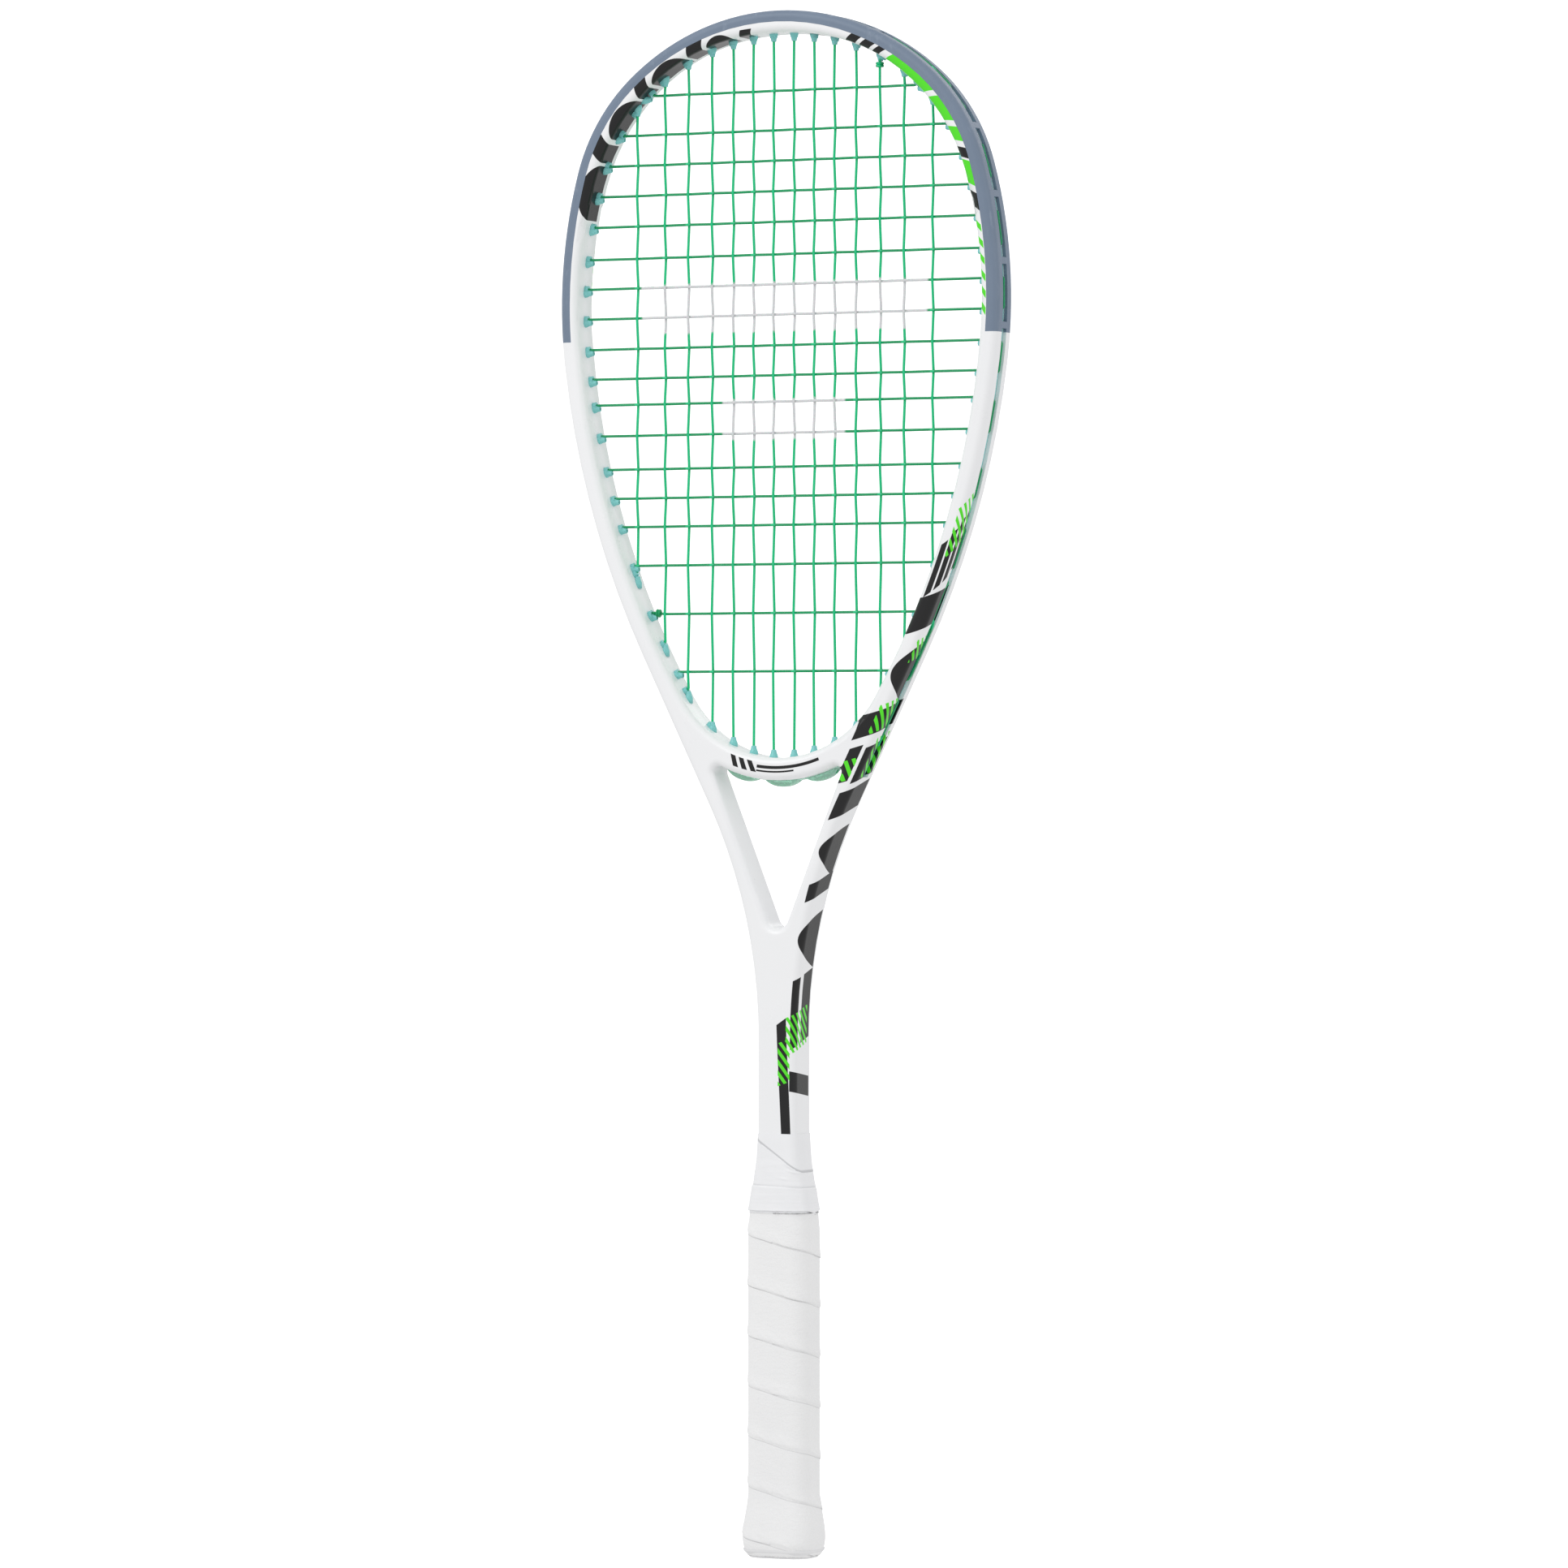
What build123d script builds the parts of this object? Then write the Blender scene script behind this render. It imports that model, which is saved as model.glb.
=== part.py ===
from build123d import *
import os
from math import asin, cos, degrees, hypot, radians, sin, tan

# Squash racket. The origin is the centre of the butt end, +Z runs up the handle to the
# head, the strings lie in the XZ plane and the front faces -Y. All sizes are millimetres.

os.makedirs("parts", exist_ok=True)

# Outer outline of the moulded frame, given for the right-hand half
OVERALL_LENGTH = 686.0
HEAD_HALF_WIDTH = 107.0
WIDEST_DOWN = 129.0          # from the crown down to the widest point of the head
CROWN_RADIUS = 110.0
SHOULDER_RADIUS = 86.0
SIDE_RADIUS = 225.0
LOWER_RADIUS = 400.0
LEG_ANGLE = 26.3             # degrees between the outside of a leg and the shaft
LEG_X = 50.5                 # a point on the straight outside of the leg
LEG_DOWN = 318.0             # that point's distance below the crown
THROAT_RADIUS = 235.0        # hollow curve from the leg into the shaft
SHAFT_WIDTH = 18.7
SHAFT_BOTTOM_Z = 2.6
FRAME_DEPTH = 18.2           # front to back
EDGE_RADIUS = 3.2            # rounding of the tube's long edges
WALL = 1.4                   # laminate thickness
SHAFT_BORE_LENGTH = 10.0

# Inside of the hoop, the bridge and the open throat
CROWN_TUBE = 9.7             # tube width seen from the front, at the crown
SIDE_TUBE = 8.4              # and at the widest point
INNER_CROWN_RADIUS = 118.0
INNER_SHOULDER_RADIUS = 89.0
INNER_SIDE_RADIUS = 195.0
INNER_LOWER_RADIUS = 380.0
BRIDGE_DOWN = 276.4          # from the crown down to the centre of the bridge's two arcs
BRIDGE_INNER_RADIUS = 55.0
BRIDGE_BAND = 10.0
THROAT_APEX_DOWN = 416.5     # from the crown to where the legs' inner edges would meet
THROAT_HALF_ANGLE = 21.6
THROAT_APEX_RADIUS = 5.5
THROAT_CORNER_RADIUS = 2.5

# String groove, bumper and grommets
GROOVE_DEPTH = 2.4
GROOVE_WIDTH = 4.8
GROOVE_END_DOWN = 340.0      # from the crown down to the groove's lower ends
STRIP_THICKNESS = 0.7
STRIP_CLEARANCE = 0.1
STRIP_GAP = 0.2              # between the head strip's ends and the side strips
BUMPER_END_DOWN = 145.0      # from the crown down to the bumper's square ends
BUMPER_THICKNESS = 1.5
BUMPER_LIP = 5.2             # how far the bumper reaches over the front and back faces
BUMPER_LIP_THICKNESS = 0.8
TIE_WIDTH = 3.0              # bars that join the bumper's rails where no string lies
BARREL_RADIUS = 1.7
BARREL_BORE = 0.8
TIE_OFF_BARREL_RADIUS = 2.3
TIE_OFF_BORE = 1.45
BARREL_CLEARANCE = 0.05
BARREL_TIP = 1.7             # how far a barrel shows inside the hoop
STRIP_SPLIT_DOWN = 141.2     # from the crown to where the head strip meets the side strips
BRIDGE_STRIP_END = 2.2       # length of the throat strip past its outermost hole
HUMP_ROOF = 0.6              # wall of the humps that cover the strings under the bridge
HUMP_WIDTH = 6.4
HUMP_OVERHANG = 1.9          # length of a hump past the holes that it covers

# Strings: 14 mains by 18 crosses, one string, given for the right-hand mains
STRING_DIAMETER = 1.2
MAIN_X = [5.0, 14.8, 24.8, 35.2, 47.0, 58.5, 72.3]
CROSS_DOWN = [35.1, 52.6, 66.1, 79.6, 93.3, 107.7, 121.0, 134.4, 148.1,
              161.4, 173.1, 187.0, 202.1, 215.1, 227.9, 245.3, 267.0, 292.9]
WEAVE_CLEARANCE = 0.16       # between a main and a cross, before the bends are rounded
WEAVE_RADIUS = 6.0
EXIT_RADIUS = 1.3            # string bend where it leaves a grommet
TIP_RADIUS = 1.5             # string bend at a grommet's inner mouth
MOUTH_GAP = 0.5              # from a barrel's tip to the string's corner
RUN_DEPTH = 0.72             # string centre below the frame's outer surface
BRIDGE_RUN_RISE = 1.55       # string centre below the bridge's lower face
BRIDGE_LEAN = 0.8            # share by which the bridge's holes follow the strings
OUTER_MAIN_LEAN = 20.0       # degrees by which the outer mains' lower holes follow the strings
PASS_OFFSET = 1.42           # sideways shift of a run that passes another string's hole
PASS_START = 3.0             # distance along the groove over which a run shifts
PAIR_OFFSET = 0.68           # two strings side by side in a tie-off hole
CROSSING_MARGIN = 1.5        # least distance from a crossing to a grommet's mouth
KNOT_GAP = 0.08
KNOT_PLACE = 1.9             # from a string's corner at the grommet to its knot
KNOT_PITCH = 1.1             # from one turn of a knot to the next
TAIL_END = 0.9               # length of a tied end inside the hoop

# Handle
GRIP_WIDTH = 30.0
GRIP_DEPTH = 24.0
GRIP_CORNER = 8.0
GRIP_THICKNESS = 1.7
GRIP_BOTTOM_Z = 4.0
GRIP_TOP_Z = 153.0
TAPER_STEP = 0.3             # how far the taper's top end stands off the shaft
FLARE_WIDTH = 34.5
FLARE_DEPTH = 28.0
FLARE_Z = 8.0
FLARE_TOP_Z = 28.0
BUTT_ROUND = 3.0             # height of the rounded edge round the butt
BUTT_INSET = 3.0             # how much smaller the butt's flat is than the flare, per side
TAPER_START_Z = 142.0
TAPER_END_Z = 188.0
TAPER_SECTIONS = 4           # sections that the taper is lofted through
CAP_WALL = 1.2
CAP_FLOOR = 2.5
CAP_TOP_Z = 20.0
TAPE_THICKNESS = 0.4
TAPE_BOTTOM_Z = 147.0
TAPE_EDGE_Z = 179.0          # height of the tape's slanted edge at the middle
TAPE_EDGE_ANGLE = 35.0
PLUG_LENGTH = 24.0
STAPLE_CROWN = 10.0
STAPLE_LEG = 3.0
STAPLE_WIRE = 0.6
STAPLE_Z = 14.0
STAPLE_SINK = 0.1            # how far a staple's crown is pressed below the cap's surface

OUTLINE_SAMPLES = 160        # points on each arc, for finding the holes
CORNERS_AT_ONCE = 24         # the string is drawn in stretches of this many corners

HALF_DEPTH = FRAME_DEPTH / 2
STRING_RADIUS = STRING_DIAMETER / 2
CROSS_Z = [OVERALL_LENGTH - down for down in CROSS_DOWN]
GROOVE_END_Z = OVERALL_LENGTH - GROOVE_END_DOWN
BUMPER_END_Z = OVERALL_LENGTH - BUMPER_END_DOWN
STRIP_SPLIT_Z = OVERALL_LENGTH - STRIP_SPLIT_DOWN


# ---------------------------------------------------------------- outlines

WIDEST_Z = OVERALL_LENGTH - WIDEST_DOWN
BRIDGE_CENTRE_Z = OVERALL_LENGTH - BRIDGE_DOWN
THROAT_APEX_Z = OVERALL_LENGTH - THROAT_APEX_DOWN
BRIDGE_RADIUS = BRIDGE_INNER_RADIUS + BRIDGE_BAND


def left_meeting(centre_a, radius_a, centre_b, radius_b):
    """The left-hand one of the two points where two circles cross."""
    gap = centre_b - centre_a
    along = (radius_a ** 2 - radius_b ** 2 + gap.length ** 2) / (2 * gap.length)
    off = (radius_a ** 2 - along ** 2) ** 0.5
    foot = centre_a + gap.normalized() * along
    across = Vector(-gap.Y, gap.X).normalized() * off
    return min(foot + across, foot - across, key=lambda point: point.X)


def towards(centre, other, radius):
    """The point of a circle that faces another point."""
    return centre + (other - centre).normalized() * radius


def outer_pieces():
    """The right half of the outer outline from the crown down: (start, end, arc centre)."""
    crown = Vector(0, OVERALL_LENGTH - CROWN_RADIUS)
    side = Vector(HEAD_HALF_WIDTH - SIDE_RADIUS, WIDEST_Z)
    shoulder = left_meeting(crown, CROWN_RADIUS - SHOULDER_RADIUS, side, SIDE_RADIUS - SHOULDER_RADIUS)
    angle = radians(LEG_ANGLE)
    up_leg, out = Vector(sin(angle), cos(angle)), Vector(cos(angle), -sin(angle))
    leg = out.dot(Vector(LEG_X, OVERALL_LENGTH - LEG_DOWN))
    sunk = leg - LOWER_RADIUS
    spread = (LOWER_RADIUS - SIDE_RADIUS) ** 2 - (out.dot(side) - sunk) ** 2
    lower = out * sunk + up_leg * (up_leg.dot(side) - spread ** 0.5)
    throat_x = SHAFT_WIDTH / 2 + THROAT_RADIUS
    throat = Vector(throat_x, (leg + THROAT_RADIUS - out.X * throat_x) / out.Y)
    joints = [
        Vector(0, OVERALL_LENGTH),
        towards(crown, shoulder, CROWN_RADIUS),
        towards(side, shoulder, SIDE_RADIUS),
        towards(lower, side, LOWER_RADIUS),
        lower + out * LOWER_RADIUS,
        throat - out * THROAT_RADIUS,
        Vector(SHAFT_WIDTH / 2, throat.Y),
    ]
    return list(zip(joints, joints[1:], [crown, shoulder, side, lower, None, throat]))


def inner_pieces():
    """The right half of the hoop's inner outline from the crown to the bridge's lowest point."""
    crown = Vector(0, OVERALL_LENGTH - CROWN_TUBE - INNER_CROWN_RADIUS)
    side = Vector(HEAD_HALF_WIDTH - SIDE_TUBE - INNER_SIDE_RADIUS, WIDEST_Z)
    bridge = Vector(0, BRIDGE_CENTRE_Z)
    shoulder = left_meeting(crown, INNER_CROWN_RADIUS - INNER_SHOULDER_RADIUS,
                            side, INNER_SIDE_RADIUS - INNER_SHOULDER_RADIUS)
    lower = left_meeting(side, INNER_LOWER_RADIUS - INNER_SIDE_RADIUS,
                         bridge, INNER_LOWER_RADIUS - BRIDGE_INNER_RADIUS)
    joints = [
        crown + Vector(0, INNER_CROWN_RADIUS),
        towards(crown, shoulder, INNER_CROWN_RADIUS),
        towards(side, shoulder, INNER_SIDE_RADIUS),
        towards(lower, side, INNER_LOWER_RADIUS),
        towards(lower, bridge, INNER_LOWER_RADIUS),
        bridge - Vector(0, BRIDGE_INNER_RADIUS),
    ]
    return list(zip(joints, joints[1:], [crown, shoulder, side, lower, bridge]))


def piece_point(start, end, centre, share):
    """A point on a straight piece (no centre) or an arc, at a share of its length."""
    if centre is None:
        return start + (end - start) * share
    turn = (end - centre).get_signed_angle(start - centre)
    return centre + (start - centre).rotate(Axis.Z, turn * share)


def draw(pieces):
    """Lines and arcs of an outline, in the local plane of a sketch."""
    for start, end, centre in pieces:
        if centre is None:
            Line(start, end)
        else:
            ThreePointArc(start, piece_point(start, end, centre, 0.5), end)




def sample(pieces):
    """Points along an outline, as (x, z) pairs."""
    points = [piece_point(*piece, i / OUTLINE_SAMPLES) for piece in pieces for i in range(OUTLINE_SAMPLES)]
    points.append(pieces[-1][1])
    return [(p.X, p.Y) for p in points]


OUTER_PIECES = outer_pieces()
INNER_PIECES = inner_pieces()
OUTER_LINE = sample(OUTER_PIECES)
INNER_LINE = sample(INNER_PIECES)


def outward(line, i):
    """Unit normal of a sampled line at its point i, away from the hoop's middle."""
    x0, z0 = line[max(i - 1, 0)]
    x1, z1 = line[min(i + 1, len(line) - 1)]
    length = hypot(x1 - x0, z1 - z0)
    return ((z0 - z1) / length, (x1 - x0) / length)


with BuildSketch() as head_shape:
    with BuildLine():
        draw(OUTER_PIECES)
        shaft_top = OUTER_PIECES[-1][1]
        Polyline(shaft_top, (SHAFT_WIDTH / 2, SHAFT_BOTTOM_Z), (0, SHAFT_BOTTOM_Z))
        mirror(about=Plane.YZ)
    make_face()

with BuildSketch() as hoop_hole:
    with BuildLine():
        draw(INNER_PIECES)
        mirror(about=Plane.YZ)
    make_face()


def throat_shape(grow):
    """The open triangle between the legs and under the bridge, grown by a distance."""
    slope = tan(radians(THROAT_HALF_ANGLE))
    apex = THROAT_APEX_Z - grow / sin(radians(THROAT_HALF_ANGLE))
    reach = slope * (BRIDGE_CENTRE_Z - apex)
    with BuildSketch() as shape:
        with BuildLine():
            Polyline((0, apex), (reach, BRIDGE_CENTRE_Z), (-reach, BRIDGE_CENTRE_Z), (0, apex))
        make_face()
        with Locations((0, BRIDGE_CENTRE_Z)):
            Circle(BRIDGE_RADIUS - grow, mode=Mode.SUBTRACT)
        corners = shape.vertices().sort_by(Axis.Y)
        fillet(corners[:1], THROAT_APEX_RADIUS + grow)
        fillet(shape.vertices().group_by(Axis.Y)[-1], THROAT_CORNER_RADIUS + grow)
    return shape.sketch


def inset(sketch, distance):
    """A copy of a sketch moved in (negative) or out (positive) by a distance."""
    return offset(sketch, amount=distance, kind=Kind.INTERSECTION, mode=Mode.PRIVATE)


def upright(sketch):
    """A sketch drawn in x and y, stood up in the racket's XZ plane."""
    return Plane.XZ * sketch


# ---------------------------------------------------------------- string holes

def turned(direction, angle):
    """A direction in the XZ plane, turned clockwise by an angle in degrees."""
    x, z = direction
    c, s = cos(radians(angle)), sin(radians(angle))
    return (x * c + z * s, z * c - x * s)


def find_hole(axis, value, top, lean):
    """Hole whose string corner has the given coordinate: (x, z, direction x, z), right half."""
    reach = BARREL_TIP + MOUTH_GAP
    places = range(len(INNER_LINE) - 1)
    for i in (places if top else reversed(places)):
        ends = []
        for j in (i, i + 1):
            point, way = INNER_LINE[j], turned(outward(INNER_LINE, j), lean)
            ends.append(point[axis] - way[axis] * reach - value)
        if ends[0] * ends[1] <= 0 and ends[0] != ends[1]:
            share = ends[0] / (ends[0] - ends[1])
            (xa, za), (xb, zb) = INNER_LINE[i], INNER_LINE[i + 1]
            return (xa + (xb - xa) * share, za + (zb - za) * share, *way)
    raise ValueError("no hole for this string")


def outer_exit(hole):
    """Where a hole's axis leaves the frame: (distance from the hole, index on the outer line)."""
    x, z, nx, nz = hole
    best = None
    for i in range(len(OUTER_LINE) - 1):
        sides = [(px - x) * nz - (pz - z) * nx for px, pz in (OUTER_LINE[i], OUTER_LINE[i + 1])]
        if sides[0] * sides[1] <= 0 and sides[0] != sides[1]:
            share = sides[0] / (sides[0] - sides[1])
            (xa, za), (xb, zb) = OUTER_LINE[i], OUTER_LINE[i + 1]
            px, pz = xa + (xb - xa) * share, za + (zb - za) * share
            along = (px - x) * nx + (pz - z) * nz
            if along > 0 and (best is None or along < best[0]):
                best = (along, i + share)
    return best


def bridge_exit(hole):
    """Distance along a hole's axis to the bridge's lower face."""
    x, z, nx, nz = hole
    rise = z - BRIDGE_CENTRE_Z
    along = x * nx + rise * nz
    return (along ** 2 + BRIDGE_RADIUS ** 2 - x * x - rise * rise) ** 0.5 - along


def main_hole(x, top):
    """A main's hole on the left (x < 0) or right side."""
    side = 1 if x > 0 else -1
    x = abs(x)
    on_bridge = not top and x < BRIDGE_MAIN_LIMIT
    if on_bridge:
        lean = degrees(asin(x / BRIDGE_INNER_RADIUS)) * BRIDGE_LEAN
    else:
        lean = OUTER_MAIN_LEAN if not top and x > MAIN_X[4] else 0.0
    hx, hz, nx, nz = hole = find_hole(0, x, top, lean)
    along, place = (bridge_exit(hole), None) if on_bridge else outer_exit(hole)
    return {"x": hx * side, "z": hz, "nx": nx * side, "nz": nz, "side": side,
            "length": along, "place": place}


def cross_hole(z, side):
    hx, hz, nx, nz = find_hole(1, z, True, 0.0)
    along, place = outer_exit((hx, hz, nx, nz))
    return {"x": hx * side, "z": hz, "nx": nx * side, "nz": nz, "side": side,
            "length": along, "place": place}


BRIDGE_MAIN_LIMIT = (MAIN_X[2] + MAIN_X[3]) / 2      # mains inside this end in the bridge
MAINS = [-x for x in reversed(MAIN_X)] + MAIN_X
TOP_HOLES = [main_hole(x, True) for x in MAINS]
BOTTOM_HOLES = [main_hole(x, False) for x in MAINS]
LEFT_HOLES = [cross_hole(z, -1) for z in CROSS_Z]
RIGHT_HOLES = [cross_hole(z, 1) for z in CROSS_Z]
HEAD_TIE_OFF = TOP_HOLES[11]
SIDE_TIE_OFF = LEFT_HOLES[16]

# In a tie-off hole the anchoring string and the tied end lie side by side
HEAD_TIE_OFF["anchor"] = Vector(0, -PAIR_OFFSET, 0)
SIDE_TIE_OFF["anchor"] = Vector(SIDE_TIE_OFF["nz"], 0, -SIDE_TIE_OFF["nx"]) * PAIR_OFFSET


def hole_plane(hole):
    """Plane on the hoop's inner face at a hole, facing outwards along the hole."""
    return Plane(origin=(hole["x"], 0, hole["z"]), x_dir=(0, 1, 0), z_dir=(hole["nx"], 0, hole["nz"]))


def hole_point(hole, distance):
    """A point on a hole's axis, at a distance outwards from the hoop's inner face."""
    return Vector(hole["x"] + hole["nx"] * distance, 0, hole["z"] + hole["nz"] * distance)


def anchor(hole):
    """How far the anchoring string lies from the axis of its hole."""
    return hole.get("anchor", Vector(0, 0, 0))


def rim_point(place, side, depth, y):
    """A point on the outer line at a (fractional) index, sunk by a depth."""
    i = min(int(place), len(OUTER_LINE) - 2)
    share = place - i
    (xa, za), (xb, zb) = OUTER_LINE[i], OUTER_LINE[i + 1]
    nx, nz = outward(OUTER_LINE, i)
    return Vector(side * (xa + (xb - xa) * share - nx * depth), y, za + (zb - za) * share - nz * depth)


def rim_step(place, distance):
    """The index on the outer line at a distance further on (down) or back (up)."""
    step = 1 if distance > 0 else -1
    left = abs(distance)
    while left > 0:
        i = int(place)
        (xa, za), (xb, zb) = OUTER_LINE[i], OUTER_LINE[i + 1]
        length = hypot(xb - xa, zb - za)
        move = min(left / length, 1.0)
        place += step * move
        left -= move * length
    return place


# ---------------------------------------------------------------- the string's route

def groove_run(start, end, shift):
    """Points between two exits on the same side, moved sideways past the holes between them."""
    way = 1 if end["place"] > start["place"] else -1
    first = rim_step(start["place"], way * PASS_START)
    last = rim_step(end["place"], -way * PASS_START)
    middle = (first + last) / 2
    return [rim_point(p, start["side"], RUN_DEPTH, shift) for p in (first, middle, last)]


def exit_point(hole):
    """The string's corner where it leaves a hole on the outside."""
    if hole["place"] is None:
        return hole_point(hole, hole["length"] + BRIDGE_RUN_RISE)
    return rim_point(hole["place"], hole["side"], RUN_DEPTH, 0)


def mouth_point(hole):
    """The string's corner where it leaves a hole on the inside."""
    return hole_point(hole, -(BARREL_TIP + MOUTH_GAP))


def crossing_side(main, cross):
    return 1 if (main + cross) % 2 == 0 else -1


WEAVE = STRING_RADIUS + WEAVE_CLEARANCE / 2


def crossings(main, cross):
    """True where a main and a cross meet inside the grommets."""
    x, z = MAINS[main], CROSS_Z[cross]
    inside_z = mouth_point(BOTTOM_HOLES[main]).Z + CROSSING_MARGIN < z < (
        mouth_point(TOP_HOLES[main]).Z - CROSSING_MARGIN)
    inside_x = abs(x) < mouth_point(RIGHT_HOLES[cross]).X - CROSSING_MARGIN
    return inside_z and inside_x


def main_span(main, downwards):
    """The points of one main from hole to hole."""
    top = TOP_HOLES[main]
    span = [exit_point(top) + anchor(top), mouth_point(top) + anchor(top)]
    for cross, z in enumerate(CROSS_Z):
        if crossings(main, cross):
            span.append(Vector(MAINS[main], crossing_side(main, cross) * WEAVE, z))
    span += [mouth_point(BOTTOM_HOLES[main]), exit_point(BOTTOM_HOLES[main])]
    return span if downwards else span[::-1]


def cross_span(cross, rightwards):
    left = LEFT_HOLES[cross]
    span = [exit_point(left) + anchor(left), mouth_point(left) + anchor(left)]
    for main, x in enumerate(MAINS):
        if crossings(main, cross):
            span.append(Vector(x, -crossing_side(main, cross) * WEAVE, CROSS_Z[cross]))
    span += [mouth_point(RIGHT_HOLES[cross]), exit_point(RIGHT_HOLES[cross])]
    return span if rightwards else span[::-1]


def tail(start, end, shift):
    """From a tied end's own hole along the groove and in beside another string."""
    inside = hole_point(end, -(BARREL_TIP + TAIL_END)) - anchor(end)
    return groove_run(start, end, shift) + [exit_point(end) - anchor(end), inside]


def route_points():
    """The whole string: knot, mains from right to left, then crosses from top to bottom, knot."""
    points = tail(TOP_HOLES[13], TOP_HOLES[11], PASS_OFFSET)[::-1]
    for main in range(13, -1, -1):
        downwards = main % 2 == 1
        points += main_span(main, downwards)
        if main in (13, 1):
            points += groove_run(BOTTOM_HOLES[main], BOTTOM_HOLES[main - 1], -PASS_OFFSET)
    for cross in range(18):
        rightwards = cross % 2 == 0
        points += cross_span(cross, rightwards)
        if cross == 0:
            points += groove_run(RIGHT_HOLES[0], RIGHT_HOLES[1], -PASS_OFFSET)
        if cross == 15:
            points += groove_run(LEFT_HOLES[15], LEFT_HOLES[16], PASS_OFFSET)
        if cross == 16:
            points += groove_run(RIGHT_HOLES[16], RIGHT_HOLES[17], PASS_OFFSET)
    points += tail(LEFT_HOLES[17], LEFT_HOLES[16], PASS_OFFSET)
    return points


def corner_radii(points):
    """A bend radius for each corner: gentle at crossings, as large as fits elsewhere."""
    radii = []
    for before, here, after in zip(points, points[1:], points[2:]):
        turn = (here - before).get_angle(after - here)
        room = 0.45 * min((here - before).length, (after - here).length) / tan(radians(turn / 2))
        in_bed = abs(abs(here.Y) - WEAVE) < 1e-6
        wanted = WEAVE_RADIUS if in_bed else (EXIT_RADIUS if turn > 60 else TIP_RADIUS)
        radii.append(min(wanted, room))
    return radii


# ---------------------------------------------------------------- the string


def route_line():
    """The string's centre line, drawn a few corners at a time."""
    points = route_points()
    radii = corner_radii(points)
    start = points[0]
    for first in range(1, len(points) - 1, CORNERS_AT_ONCE):
        last = min(first + CORNERS_AT_ONCE, len(points) - 1)
        end = points[-1] if last == len(points) - 1 else (points[last - 1] + points[last]) / 2
        FilletPolyline(start, *points[first:last], end, radius=radii[first - 1:last - 1])
        start = end


with BuildPart() as string:
    with BuildLine() as string_line:
        route_line()
    string_path = string_line.wire()
    with BuildSketch(Plane(origin=string_path @ 0, z_dir=string_path % 0)):
        Circle(STRING_RADIUS)
    sweep(path=string_path)
string.part.label = "string"
export_step(string.part, "parts/string.step")


def knot_plane(hole, next_point, turn):
    """Plane across the anchoring string where a turn of the knot goes round it."""
    mouth = mouth_point(hole) + anchor(hole)
    way = (next_point - mouth).normalized()
    return Plane(origin=mouth + way * (KNOT_PLACE + turn * KNOT_PITCH), z_dir=way)


with BuildPart() as tie_off_knots:
    ties = [(HEAD_TIE_OFF, main_span(11, True)[2]), (SIDE_TIE_OFF, cross_span(16, True)[2])]
    for tie_hole, beyond in ties:
        with Locations(*[knot_plane(tie_hole, beyond, turn).location for turn in range(2)]):
            Torus(STRING_DIAMETER + KNOT_GAP, STRING_RADIUS)
tie_off_knots.part.label = "tie_off_knots"
export_step(tie_off_knots.part, "parts/tie_off_knots.step")


# ---------------------------------------------------------------- frame moulding

def rim_band(depth, low_z, high_z):
    """The strip along the outer outline down to a depth, between two heights."""
    with BuildSketch() as band:
        add(head_shape.sketch)
        add(inset(head_shape.sketch, -depth), mode=Mode.SUBTRACT)
        with Locations((0, (low_z + high_z) / 2)):
            Rectangle(HEAD_HALF_WIDTH * 3, high_z - low_z, mode=Mode.INTERSECT)
    return upright(band.sketch)


ABOVE_HEAD = OVERALL_LENGTH + 10
PAST_FACE = HALF_DEPTH + 1

# The solid shape of the whole moulding, with its bumper on
with BuildPart() as envelope:
    with BuildSketch() as envelope_shape:
        add(head_shape.sketch)
        add(hoop_hole.sketch, mode=Mode.SUBTRACT)
        add(throat_shape(0), mode=Mode.SUBTRACT)
    extrude(upright(envelope_shape.sketch), amount=HALF_DEPTH, both=True)
    rims = envelope.faces().filter_by(Axis.Y).edges().filter_by(lambda e: e.center().Z > SHAFT_BOTTOM_Z + 1)
    fillet(rims, EDGE_RADIUS)

# The space that the bumper takes up
with BuildPart() as bumper_zone:
    extrude(rim_band(BUMPER_LIP, BUMPER_END_Z, ABOVE_HEAD), amount=PAST_FACE, both=True)
    core = rim_band(BUMPER_LIP + 1, BUMPER_END_Z - 1, ABOVE_HEAD)
    extrude(core, amount=HALF_DEPTH - BUMPER_LIP_THICKNESS, both=True, mode=Mode.SUBTRACT)
    extrude(rim_band(BUMPER_THICKNESS, BUMPER_END_Z, ABOVE_HEAD), amount=PAST_FACE, both=True)

SHAFT_BORE_WIDTH = SHAFT_WIDTH - 2 * (GROOVE_DEPTH + WALL)
SHAFT_BORE_DEPTH = FRAME_DEPTH - 2 * WALL

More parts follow.
